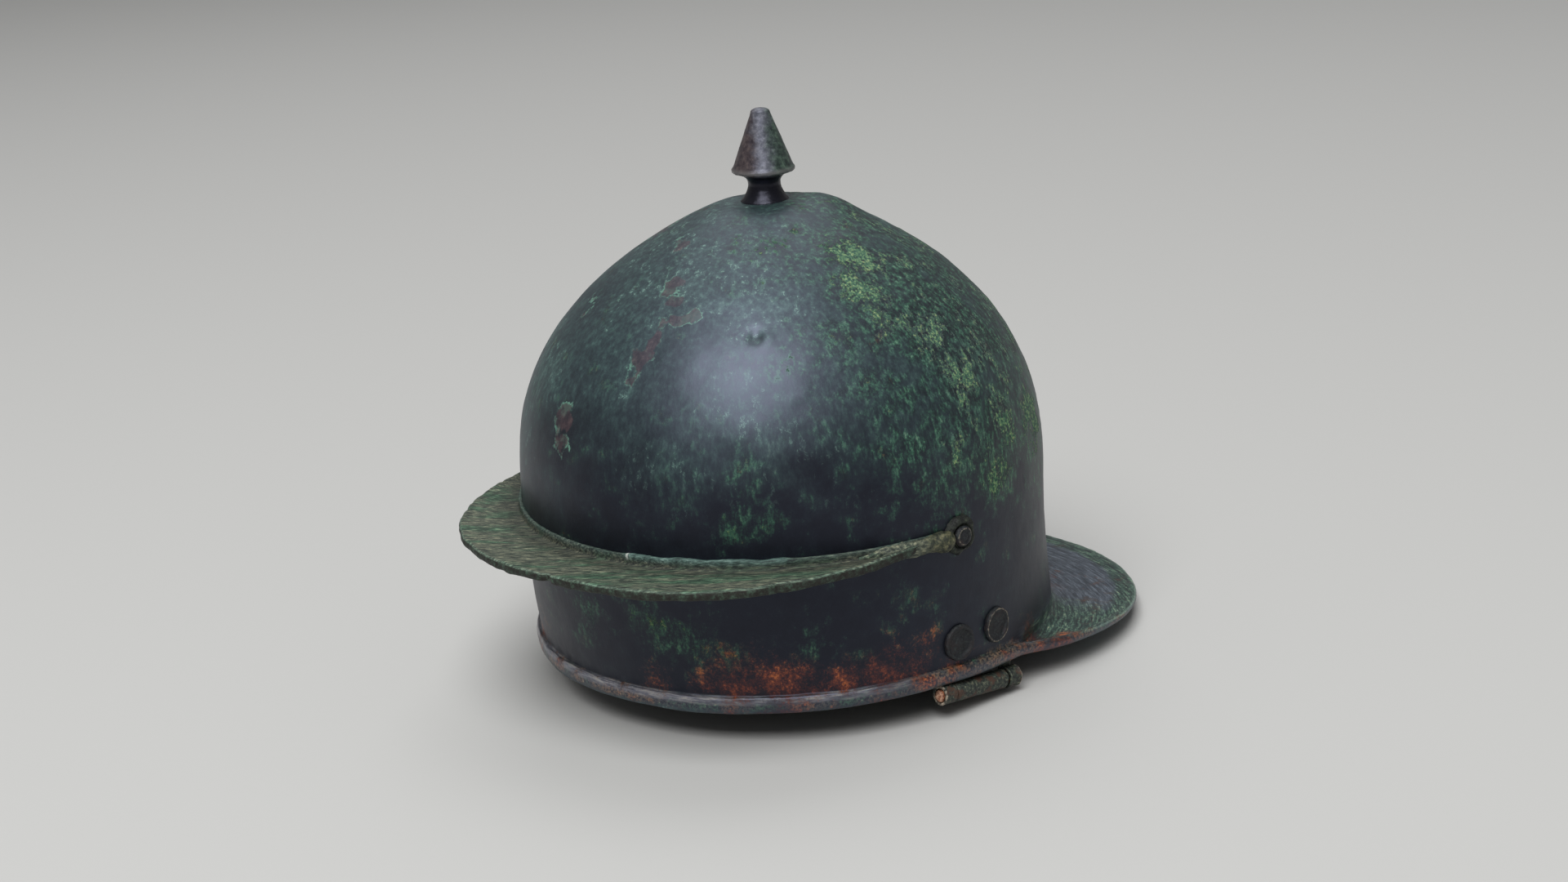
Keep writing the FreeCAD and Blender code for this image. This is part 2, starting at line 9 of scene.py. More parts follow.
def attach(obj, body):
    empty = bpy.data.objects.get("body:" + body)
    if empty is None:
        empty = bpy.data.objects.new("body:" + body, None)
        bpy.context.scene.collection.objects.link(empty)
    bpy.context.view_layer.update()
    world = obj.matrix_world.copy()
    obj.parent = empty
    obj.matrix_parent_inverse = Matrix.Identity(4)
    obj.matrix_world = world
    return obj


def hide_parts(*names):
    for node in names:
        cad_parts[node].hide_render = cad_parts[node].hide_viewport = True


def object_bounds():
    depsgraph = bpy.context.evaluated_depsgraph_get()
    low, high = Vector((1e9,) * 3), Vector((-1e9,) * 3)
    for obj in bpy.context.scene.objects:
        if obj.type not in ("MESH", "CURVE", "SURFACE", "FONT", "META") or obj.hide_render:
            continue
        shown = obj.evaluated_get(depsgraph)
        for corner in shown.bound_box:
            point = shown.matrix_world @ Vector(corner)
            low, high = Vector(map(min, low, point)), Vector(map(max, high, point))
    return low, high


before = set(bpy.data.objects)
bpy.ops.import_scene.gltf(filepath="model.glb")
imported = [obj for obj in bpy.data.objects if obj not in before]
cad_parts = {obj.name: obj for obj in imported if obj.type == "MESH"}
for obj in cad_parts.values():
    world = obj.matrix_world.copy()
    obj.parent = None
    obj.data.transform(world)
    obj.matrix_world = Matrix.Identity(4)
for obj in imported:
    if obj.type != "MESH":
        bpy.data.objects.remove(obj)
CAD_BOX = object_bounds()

# The bowl: one bronze sheet hammered up over a stake into a deep round dome, with the neck
# guard drawn out of the same sheet at the back and a half round bead worked along the edge
# of the rim.  It is dented and a little out of true after centuries in the ground.
# Sizes are in millimetres: -Y is the front, +X the wearer's left, z = 0 the rim's underside.
MM = 0.001
BOWL_WIDTH = 210.0
BOWL_LENGTH = 217.0
SHOULDER_HEIGHT = 63.0
CROWN_HEIGHT = 175.0
CROWN_PROFILE = (
    (103.4, 87.5), (96.1, 112.0), (79.3, 136.5), (56.2, 155.7), (31.5, 169.7), (12.0, CROWN_HEIGHT),
)
RIM_WIDTH = 208.4
RIM_LENGTH = 215.0
RIM_SET_BACK = 4.5
SHEET = 1.3
LOWEST_WALL = -20.0
BEAD_HEIGHT = 6.5
BEAD_PROUD = 2.9
BEAD_WIDTH = (1.5, 6.0)
BEAD_TAPER = (-15.0, 90.0)
NECK_SHEET = 1.8
NECK_HALF_WIDTH = 116.0
NECK_HALF_LENGTH = 107.0
NECK_CENTRE = 55.0
NECK_FALL = 0.075
NECK_BEND_START = -40.0
NECK_BEND_RADIUS = 936.0
NECK_BLEND = 3.0
COVE_RADIUS = 7.0
COVE_LEAST = 0.9
INNER_CORNER = 0.5
COLUMNS = 440
INNER_ROWS = 30
UNDER_ROWS = 12
EDGE_ROWS = 11
TOP_ROWS = 22
COVE_ROWS = 8
OUTER_ROWS = 138
WALL_SAMPLES = 100
DOME_SAMPLES = 600
LATTICE = 48
OCTAVE_SHIFT = 7.3
# Where the corner at the wall widens round to the neck guard, as sines of the angle round.
COVE_TURN = (-0.05, 0.75)
# Unevenness of the edge in millimetres, and of the bead as a share, each with its patch size.
EDGE_WANDER = (0.5, 24.0)
EDGE_RAGGED = (0.12, 8.0)
BEAD_WOBBLE = (0.04, 15.0)


def smoothstep(low, high, value):
    """0 at low, 1 at high, and an even S curve between them; low may be the larger."""
    share = np.clip((value - low) / (high - low), 0, 1)
    return share * share * (3 - 2 * share)


def clamped_cubic(places, values, first, last, fine):
    """Smooth cubic through values at places, with given end slopes, read at fine places.

    The slopes at the inner places are those that leave the curvature unbroken, and each
    span is the cubic with its two end values and its two end slopes.
    """
    step = np.diff(places)
    rise = np.diff(values) / step
    system = np.eye(len(places))
    wanted = np.array([first, *[0.0] * (len(places) - 2), last])
    for i in range(1, len(places) - 1):
        system[i, i - 1:i + 2] = step[i], 2 * (step[i - 1] + step[i]), step[i - 1]
        wanted[i] = 3 * (step[i] * rise[i - 1] + step[i - 1] * rise[i])
    slope = np.linalg.solve(system, wanted)
    span = np.clip(np.searchsorted(places, fine, side="right") - 1, 0, len(step) - 1)
    u = (fine - places[span]) / step[span]
    ends = (1 + 2 * u) * (1 - u) ** 2 * values[span] + u * u * (3 - 2 * u) * values[span + 1]
    return ends + step[span] * u * (1 - u) * ((1 - u) * slope[span] - u * slope[span + 1])


def bowl_side():
    """The bowl's side view as one table: run, half width, half length, centre and height.

    The run is the height up to the shoulder and the length along the skin above it.  The
    wall below draws in by the square of its drop, the dome above is a smooth cubic, and
    the crown is a small flat.
    """
    points = np.array([(BOWL_WIDTH / 2, SHOULDER_HEIGHT), *CROWN_PROFILE])
    chord = np.concatenate([[0], np.cumsum(np.hypot(*np.diff(points, axis=0).T))])
    fine = np.linspace(0, chord[-1], DOME_SAMPLES)
    radius = clamped_cubic(chord, points[:, 0], 0, -1, fine)
    height = clamped_cubic(chord, points[:, 1], 1, 0, fine)
    arc = np.concatenate([[0], np.cumsum(np.hypot(np.diff(radius), np.diff(height)))])
    below = np.linspace(LOWEST_WALL, SHOULDER_HEIGHT, WALL_SAMPLES, endpoint=False)
    drop = ((SHOULDER_HEIGHT - below) / SHOULDER_HEIGHT) ** 2
    lower_width = (BOWL_WIDTH - (BOWL_WIDTH - RIM_WIDTH) * drop) / 2
    lower_length = (BOWL_LENGTH - (BOWL_LENGTH - RIM_LENGTH) * drop) / 2
    run = np.concatenate([below, SHOULDER_HEIGHT + arc, [SHOULDER_HEIGHT + arc[-1] + radius[-1]]])
    width = np.concatenate([lower_width, radius, [0]])
    length = np.concatenate([lower_length, radius * BOWL_LENGTH / BOWL_WIDTH, [0]])
    centre = np.concatenate([RIM_SET_BACK * drop, 0 * radius, [0]])
    return run, width, length, centre, np.concatenate([below, height, [CROWN_HEIGHT]])


SIDE = bowl_side()
CROWN_RUN = SIDE[0][-1]


def wall(run, angle, inset=0):
    """Points of the bowl's skin: an oval at each run, moved in square to the side view."""
    table, width, length, centre, level = SIDE
    climb = np.gradient(level, table)
    spread = np.gradient(width, table)
    size = np.hypot(climb, spread)
    half_width = np.maximum(np.interp(run, table, width - inset * climb / size), 0)
    half_length = np.maximum(np.interp(run, table, length - inset * climb / size), 0)
    height = np.interp(run, table, level + inset * spread / size)
    along_y = np.interp(run, table, centre) + half_length * np.sin(angle)
    return np.stack(np.broadcast_arrays(half_width * np.cos(angle), along_y, height), -1)


def wall_out(angle):
    """Level directions square to the bowl's wall at angles round it."""
    out = np.stack([np.cos(angle) / BOWL_WIDTH, np.sin(angle) / BOWL_LENGTH, 0 * angle], -1)
    return out / np.linalg.norm(out, axis=-1, keepdims=True)


def underside(y):
    """Height of the rim's underside: level in front, a wide arc, then an even fall."""
    run = np.maximum(y - NECK_BEND_START, 0)
    bend = NECK_BEND_RADIUS * math.sin(math.atan(NECK_FALL))
    arc = np.sqrt(NECK_BEND_RADIUS ** 2 - np.minimum(run, bend) ** 2) - NECK_BEND_RADIUS
    return arc - np.maximum(run - bend, 0) * NECK_FALL


def mottle(points, size, seed, octaves=1):
    """Smooth random heights from -1 to 1, in patches of about the given size.

    Each point blends the random numbers at the eight corners of its cube of a lattice,
    with eased shares.  Each further octave is half as large and half as high.
    """
    lattice = np.random.default_rng(seed).uniform(-1, 1, (LATTICE, LATTICE, LATTICE))
    total = np.zeros(points.shape[:-1])
    for octave in range(octaves):
        cell = points * 2 ** octave / size + OCTAVE_SHIFT * octave
        low = np.floor(cell).astype(int)
        share = cell - low
        share = share * share * (3 - 2 * share)
        for corner in np.ndindex(2, 2, 2):
            weight = np.prod(np.where(np.array(corner, bool), share, 1 - share), axis=-1)
            x, y, z = np.moveaxis((low + corner) % LATTICE, -1, 0)
            total += weight * lattice[x, y, z] / 2 ** octave
    return total


def square_out(grid):
    """Unit directions square to a grid whose columns run once round the piece."""
    across = np.roll(grid, -1, axis=1) - np.roll(grid, 1, axis=1)
    normal = np.cross(across, np.gradient(grid, axis=0))
    return normal / np.maximum(np.linalg.norm(normal, axis=-1, keepdims=True), 1e-9)


def closed_piece(name, shells):
    """One mesh from closed shells, each a grid of points in millimetres and its marks.

    A grid's columns run once round the shell.  Its first and last rows are drawn together
    to a pole, or, where the last row repeats the first, joined into a ring.  A grid that
    turns inwards, which its signed volume shows, has its columns reversed.  Marks are
    numbers or vectors per point, kept as attributes for the material.
    """
    points, faces, kept = [], [], {}
    count = 0
    for grid, marks in shells:
        across = np.roll(grid, -1, axis=1) - np.roll(grid, 1, axis=1)
        volume = ((grid - grid.mean((0, 1))) * np.cross(across, np.gradient(grid, axis=0))).sum()
        order = slice(None, None, 1 if volume > 0 else -1)
        ring = np.allclose(grid[0], grid[-1])

        def flat(values):
            """Values in the order of the mesh's points: the rows, then the two poles."""
            values = np.broadcast_to(values, (*grid.shape[:2], *values.shape[2:]))[:, order]
            middle = values[0 if ring else 1:-1].reshape(-1, *values.shape[2:])
            ends = values[[0, -1]].mean(axis=1)
            return middle if ring else np.concatenate([middle, ends])

        points.append(flat(grid))
        index = np.arange(len(points[-1]) - (0 if ring else 2)).reshape(-1, grid.shape[1]) + count
        lower, upper = (index, np.roll(index, -1, axis=0)) if ring else (index[:-1], index[1:])
        quads = np.stack([lower, np.roll(lower, -1, axis=1), np.roll(upper, -1, axis=1), upper], -1)
        faces += quads.reshape(-1, 4).tolist()
        if not ring:
            pole = 0 * index[0] + index[-1, -1] + 1
            faces += np.stack([np.roll(index[0], -1), index[0], pole], -1).tolist()
            faces += np.stack([index[-1], np.roll(index[-1], -1), pole + 1], -1).tolist()
        for mark, values in marks.items():
            kept.setdefault(mark, []).append(flat(values))
        count += len(points[-1])
    mesh = bpy.data.meshes.new(name)
    mesh.from_pydata((np.concatenate(points) * MM).tolist(), [], faces)
    for mark, values in kept.items():
        values = np.concatenate(values)
        kind, field = ("FLOAT", "value") if values.ndim == 1 else ("FLOAT_VECTOR", "vector")
        attribute = mesh.attributes.new(mark, kind, "POINT")
        attribute.data.foreach_set(field, values.astype(np.float32).ravel())
    mesh.shade_smooth()
    piece = bpy.data.objects.new(name, mesh)
    bpy.context.scene.collection.objects.link(piece)
    return piece


def neck_reach(foot, out):
    """How far the neck guard's oval edge lies from the wall's foot along out."""
    size = np.array([NECK_HALF_WIDTH, NECK_HALF_LENGTH])
    start = (foot - np.array([0, NECK_CENTRE])) / size
    step = out / size
    a, b, c = (step ** 2).sum(-1), (start * step).sum(-1), (start ** 2).sum(-1) - 1
    inside = b * b - a * c
    return np.where(inside > 0, (np.sqrt(np.maximum(inside, 0)) - b) / a, -BOWL_WIDTH)


def bowl_grid():
    """Rows of points from the crown's inside, down, round the edge, and up to its outside.

    Below the wall each point is a distance out from the wall's foot and a rise above the
    underside.  The edge is a half oval and the corner at the wall a quarter circle.  Each
    row has its side, from -1 inside to 1 outside, and its distance from the edge.
    """
    angle = np.linspace(-math.pi / 2, 3 * math.pi / 2, COLUMNS, endpoint=False)
    low = underside(wall(0 * angle, angle)[:, 1])
    foot = wall(low, angle)[:, :2]
    out = wall_out(angle)[:, :2]
    ring = np.concatenate([foot, low[:, None]], -1)
    gap = neck_reach(foot, out) + EDGE_WANDER[0] * mottle(ring, EDGE_WANDER[1], 11, 2) - BEAD_PROUD
    reach = BEAD_PROUD + (gap + np.sqrt(gap ** 2 + NECK_BLEND ** 2)) / 2
    reach = reach + EDGE_RAGGED[0] * mottle(ring, EDGE_RAGGED[1], 12, 2)
    bead = BEAD_HEIGHT - (BEAD_HEIGHT - NECK_SHEET) * smoothstep(*BEAD_TAPER, foot[:, 1])
    bead = bead * (1 + BEAD_WOBBLE[0] * mottle(ring, BEAD_WOBBLE[1], 13, 2))
    cove = COVE_LEAST + (COVE_RADIUS - COVE_LEAST) * smoothstep(*COVE_TURN, np.sin(angle))

    def top(distance):
        """Rise of the upper face: the neck guard's sheet, thickening to the bead."""
        return NECK_SHEET + (bead - NECK_SHEET) * smoothstep(*BEAD_WIDTH[::-1], reach - distance)

    lean = 0 * angle
    for _ in range(2):
        thick = top(lean + cove)
        join = low + thick + cove
        lean = ((wall(join, angle)[:, :2] - foot) * out).sum(-1)
    depth = np.minimum(bead / 2, reach - lean - cove - 0.1)

    def section(distance, rise):
        """A row of points at a distance out from the foot and a rise above the underside."""
        place = foot + out * distance[:, None]
        return np.concatenate([place, (underside(place[:, 1]) + rise)[:, None]], -1)

    rows = []
    for t in np.linspace(0, 1, INNER_ROWS):
        run = CROWN_RUN + (low + INNER_CORNER - CROWN_RUN) * t
        rows.append((wall(run, angle, SHEET), -1, reach))
    start = INNER_CORNER - SHEET
    for t in np.linspace(0, 1, UNDER_ROWS):
        distance = start + (reach - depth - start) * t
        rows.append((section(distance, 0 * angle), -1, reach - distance))
    for t in np.linspace(-math.pi / 2, math.pi / 2, EDGE_ROWS)[1:]:
        distance = reach - depth * (1 - math.cos(t))
        rise = bead / 2 * (1 + math.sin(t))
        rows.append((section(distance, rise), 2 * t / math.pi, reach - distance))
    for t in np.linspace(0, 1, TOP_ROWS)[1:]:
        distance = reach - depth + (lean + cove - reach + depth) * t
        rise = bead + (top(distance) - bead) * smoothstep(0, 0.1, t)
        rows.append((section(distance, rise), 1, reach - distance))
    for t in np.linspace(0, math.pi / 2, COVE_ROWS)[1:-1]:
        distance = lean + cove * (1 - math.sin(t))
        rows.append((section(distance, thick + cove * (1 - math.cos(t))), 1, reach - distance))
    for t in np.linspace(0, 1, OUTER_ROWS):
        rows.append((wall(join + (CROWN_RUN - join) * t, angle), 1, reach + 100 * t))
    points = np.array([row[0] for row in rows])
    sides = np.broadcast_to(np.array([row[1] for row in rows], float)[:, None], points.shape[:2])
    return points, sides, np.array([row[2] for row in rows])


# Where the patina differs: places on the skin, each with a radius and a strength.
MALACHITE = (
    (48, -10, 161, 12, 1.1), (60, -20, 151, 12, 0.95), (70, -16, 144, 12, 0.85), (81, -8, 134, 14, 1.1),
    (62, 6, 152, 12, 0.85), (93, 2, 115, 15, 0.85), (101, 12, 95, 12, 1.0), (104, 5, 77, 9, 1.1),
    (30, -30, 166, 18, 0.5), (64, -48, 138, 20, 0.4), (84, -44, 112, 20, 0.35), (95, -36, 95, 22, 0.25),
    (95, 45, 85, 20, 0.8), (70, 60, 128, 24, 0.9), (20, 70, 150, 24, 0.7), (-20, 96, 112, 24, 0.8),
    (-70, 70, 105, 26, 0.8), (-92, 20, 112, 20, 0.7), (-60, -10, 152, 16, 0.5), (-100, -30, 60, 18, 0.4),
    (40, 105, 40, 18, 0.5), (-40, 100, 30, 16, 0.5), (60, -92, 84, 16, 0.3),
    (14, -107, 40, 9, 0.5), (32, -104, 30, 9, 0.5), (50, -96, 22, 7, 0.45), (76, -75, 26, 7, 0.4),
    (88, -60, 20, 6, 0.45), (-12, -108, 34, 10, 0.4),
)
WORN = (
    (4, -61, 153, 4, 0.9), (10, -65, 150, 3, 0.9), (17, -71, 145, 3.5, 1.0), (10, -75, 143, 3, 0.9),
    (10, -81, 137, 3.5, 1.0), (8, -86, 132, 4, 1.0), (5, -91, 126, 3, 0.9), (-22, -97, 108, 5, 0.8),
    (-25, -101, 98, 5, 0.75), (-40, -60, 140, 6, 0.9), (-75, -40, 125, 7, 0.9), (-50, 60, 140, 8, 1.0),
    (60, 80, 100, 7, 0.9), (-90, 50, 70, 8, 0.9), (-36, -20, 163, 7, 0.9), (-10, -40, 167, 6, 0.8),
)
CUPRITE = (
    (44, -98, 8, 9, 0.75), (52, -93, 10, 11, 0.9), (62, -85, 6, 11, 1.05), (70, -79, 10, 9, 0.9),
    (82, -66, 7, 8, 0.95), (90, -55, 9, 10, 0.95), (96, -44, 8, 7, 0.8), (98, -36, 18, 6, 0.4),
    (104, -22, 5, 8, 0.7), (-70, 80, 4, 14, 0.9), (-100, -20, 6, 10, 0.8), (-104, 20, 4, 10, 0.9),
    (112, 30, 0, 9, 1.1), (112, 12, 2, 7, 0.8), (60, 98, 4, 12, 0.6), (-60, -84, 6, 11, 0.7),
    (20, -106, 8, 9, 0.45),
)
# Dents by place, radius and depth.  Where the depth is below 0 the skin is pushed out: beside
# the sharp dent, and at three places of the last row, one of them the crown's corner.
DENTS = (
    (45, -63, 140, 1.9, 1.5), (49, -62, 138, 4, -0.5), (52, -76, 125, 26, 0.3),
    (-30, -60, 145, 14, 0.5), (70, 60, 130, 20, 0.7), (-60, 30, 150, 16, 0.6),
    (15, -103, 96, 7, 0.5), (-90, 40, 80, 18, 0.6), (20, 100, 95, 15, 0.6),
    (17, 19, 172, 9, -2.3), (-30, 10, 170, 12, -0.6), (90, 10, 124, 12, -0.5),
)
# Lumps and the roughness of the edge, each with its height and the size of its patches.
SLOW_LUMPS = (0.40, 34.0)
QUICK_LUMPS = (0.12, 9.0)
ROUGH_EDGE = (0.25, 4.0)
CRUST_RISE = 0.22
CRUST_PATCH = 6.0
BROAD_PATCH = 34.0
WANDER_PATCH = 7.0
WORN_WANDER = 4.2
CUPRITE_WANDER = 2.0
# How far streaks are drawn out along z, and rings round it, as shares of the true length.
STREAK_DRAW = 0.38
RING_DRAW = 0.06
# The film's heights, how much higher they are at the front left and that side's turn in
# degrees, how far they wander, and the film's strength inside the bowl.
FILM_HEIGHTS = (50.0, 138.0)
FILM_LEAN = (12.0, 56)
FILM_WANDER = 16
INNER_FILM = 0.75
# The green side: its first and last degrees round the bowl, its heights, how far both
# wander, and its strength.
GREEN_FROM = (-42.0, -2.0)
GREEN_UNTIL = (178, 150)
GREEN_HEIGHTS = (48.0, 100.0)
GREEN_WANDER = (16, 14)
GREEN_SHARE = 0.52
# The neck guard's and the bead's limits: rises over the underside, places along y, and
# distances from the edge.  Two of them place painted highlights: a thin one along the neck
# guard's edge, and one along the top of the bead at the front.  The last is how much less
# cuprite the rubbed bead has.
SHELF_RISE = (13, 5)
SHELF_FROM = (8, 30)
SHELF_GREEN_BACK = (95, 60)
SHELF_GREEN_EDGE = (13, 5)
NECK_EDGE_HIGHLIGHT = (1.2, 0.4)
BEAD_FOOT = (0.6, 2.0)
BEAD_CREST = (7.3, 6.4)
BEAD_INNER = (5, 3.5)
BEAD_HIGHLIGHT_RISE = (3.2, 4.9)
BEAD_HIGHLIGHT_FRONT = (-20, -75)
BEAD_CLEAN = 0.35


def spots(points, places):
    """Strength of the nearest place at each point: each is a bell curve of its radius."""
    total = np.zeros(points.shape[:-1])
    for *place, radius, strength in places:
        away = ((points - np.array(place)) ** 2).sum(-1)
        total = np.maximum(total, strength * np.exp(-away / (2 * radius ** 2)))
    return total


def bowl_marks(points, sides, from_edge):
    """The masks that the bowl's material mixes its colours by.

    Streaks are read at places drawn out along z, and rings at places drawn out round it.
    """
    outer = np.clip(sides, 0, 1)
    x, y, z = np.moveaxis(points, -1, 0)
    degrees = np.degrees(np.arctan2(y, x))
    rise = z - underside(y)
    wander = np.stack([mottle(points, WANDER_PATCH, seed, 3) for seed in (22, 23, 24)], -1)
    broad = mottle(points, BROAD_PATCH, 21, 3)
    green_side = smoothstep(*GREEN_FROM, degrees + GREEN_WANDER[0] * broad)
    green_side = green_side * smoothstep(*GREEN_UNTIL, degrees)
    green_side = green_side * smoothstep(*GREEN_HEIGHTS, z + GREEN_WANDER[1] * broad)
    malachite = np.maximum(spots(points, MALACHITE), GREEN_SHARE * green_side)
    lean = FILM_LEAN[0] * np.cos(np.radians(degrees + FILM_LEAN[1]))
    film = smoothstep(*FILM_HEIGHTS, z + FILM_WANDER * broad - lean)
    shelf = outer * smoothstep(*SHELF_RISE, rise) * smoothstep(*SHELF_FROM, y)
    shelf_green = np.maximum(smoothstep(*SHELF_GREEN_BACK, y), smoothstep(*SHELF_GREEN_EDGE, from_edge))
    bead = smoothstep(*BEAD_FOOT, rise) * smoothstep(*BEAD_CREST, rise)
    bead = bead * smoothstep(*BEAD_INNER, from_edge)
    # A thin painted highlight along the neck guard's outer edge, towards the back.
    edge = smoothstep(*NECK_EDGE_HIGHLIGHT, from_edge) * smoothstep(0.1, 0.8, sides) * smoothstep(30, 60, y)
    return {
        "streaks": points * np.array([1, 1, STREAK_DRAW]) * MM,
        "rings": np.stack([np.arctan2(x, y) * BOWL_WIDTH * RING_DRAW, np.hypot(x, y), z], -1) * MM,
        "malachite": malachite * outer,
        "worn": spots(points + WORN_WANDER * wander, WORN) * outer,
        "cuprite": spots(points + CUPRITE_WANDER * wander, CUPRITE) * (1 - BEAD_CLEAN * bead),
        "film": film * outer + INNER_FILM * (1 - outer),
        "shelf": shelf,
        "shelf_green": shelf * shelf_green,
        "edge": edge,
        "bead": bead,
        # Painted highlight along the top of the bead, at the front only.
        "bead_top_highlight": bead * smoothstep(*BEAD_HIGHLIGHT_RISE, rise) * smoothstep(*BEAD_HIGHLIGHT_FRONT, y),
    }


def bowl_relief(points, sides, from_edge, marks):
    """Rise of the skin in millimetres: hammering, dents and, outside, the crusts."""
    layers = (SLOW_LUMPS, QUICK_LUMPS)
    lumps = sum(rise * mottle(points, size, seed, 2) for seed, (rise, size) in enumerate(layers))
    for *place, radius, depth in DENTS:
        away = ((points - np.array(place)) ** 2).sum(-1)
        lumps = lumps - depth * np.exp(-away / (2 * radius ** 2))
    crust = np.clip(mottle(points, CRUST_PATCH, 31, 3) + 2 * marks["malachite"] - 1, 0, 1)
    rough_edge = ROUGH_EDGE[0] * mottle(points, ROUGH_EDGE[1], 32, 3) * smoothstep(6, 3, from_edge)
    return lumps * sides + (CRUST_RISE * crust + rough_edge) * np.clip(sides, 0, 1)


bowl_points, bowl_sides, bowl_from_edge = bowl_grid()
bowl_masks = bowl_marks(bowl_points, bowl_sides, bowl_from_edge)
bowl_rise = bowl_relief(bowl_points, bowl_sides, bowl_from_edge, bowl_masks)
bowl_points = bowl_points + square_out(bowl_points) * bowl_rise[..., None]
bowl = closed_piece("bowl_skin", [(bowl_points, bowl_masks)])


def srgb(code):
    """A linear colour from a hex code."""
    parts = [int(code[i:i + 2], 16) / 255 for i in (1, 3, 5)]
    return (*[p / 12.92 if p <= 0.04045 else ((p + 0.055) / 1.055) ** 2.4 for p in parts], 1)


def add(tree, kind, inputs=(), output="", stops=(), **settings):
    """Adds a node, sets it, fills or links its inputs, and gives the output asked for.

    Inputs go by name, or by number where names repeat.  Stops are a colour ramp's places
    and hex codes, in rising order.
    """
    made = tree.nodes.new("ShaderNode" + kind)
    for name, value in settings.items():
        setattr(made, name, value)
    for i, (place, code) in enumerate(stops):
        stop = made.color_ramp.elements[i] if i < 2 else made.color_ramp.elements.new(place)
        stop.position = place
        stop.color = srgb(code)
    for name, value in dict(inputs).items():
        named = [socket for socket in made.inputs if socket.enabled and socket.name == name]
        socket = named[0] if named else made.inputs[name]
        if isinstance(value, bpy.types.NodeSocket):
            tree.links.new(value, socket)
        else:
            socket.default_value = srgb(value) if isinstance(value, str) else value
    given = [socket for socket in made.outputs if socket.enabled and output in ("", socket.name)]
    return given[0] if given else None


def new_material(name):
    """An empty material and a call that adds nodes to it."""
    material = bpy.data.materials.new(name)
    material.use_nodes = True
    material.node_tree.nodes.clear()
    return material, partial(add, material.node_tree)


def per_metre(width):
    """The scale of a noise whose patches are of a width in millimetres."""
    return 1 / (width * MM)


# Patinated bronze sheet: polished when it was new, then centuries in the ground.  A smooth
# blue black skin with a satin gloss, thin grey green films drawn out in streaks from crown
# to rim, dull malachite in patches of grains a millimetre or two wide, and red cuprite low
# on the wall.  The skin is of copper minerals, not bare metal, with an IOR of about 1.8.
COLOURS = {"data_type": "RGBA"}
S_CURVE = {"interpolation_type": "SMOOTHSTEP"}
TIMES = {"operation": "MULTIPLY"}
TIMES_PLUS = {"operation": "MULTIPLY_ADD"}
PATCH_WIDTH = 13.0
CLOUD_WIDTH = 45.0
STREAK_WIDTH = 2.2
SPECK_WIDTH = 2.2
DOT_WIDTH = 1.1
BRUSHED_WIDTH = 1.0


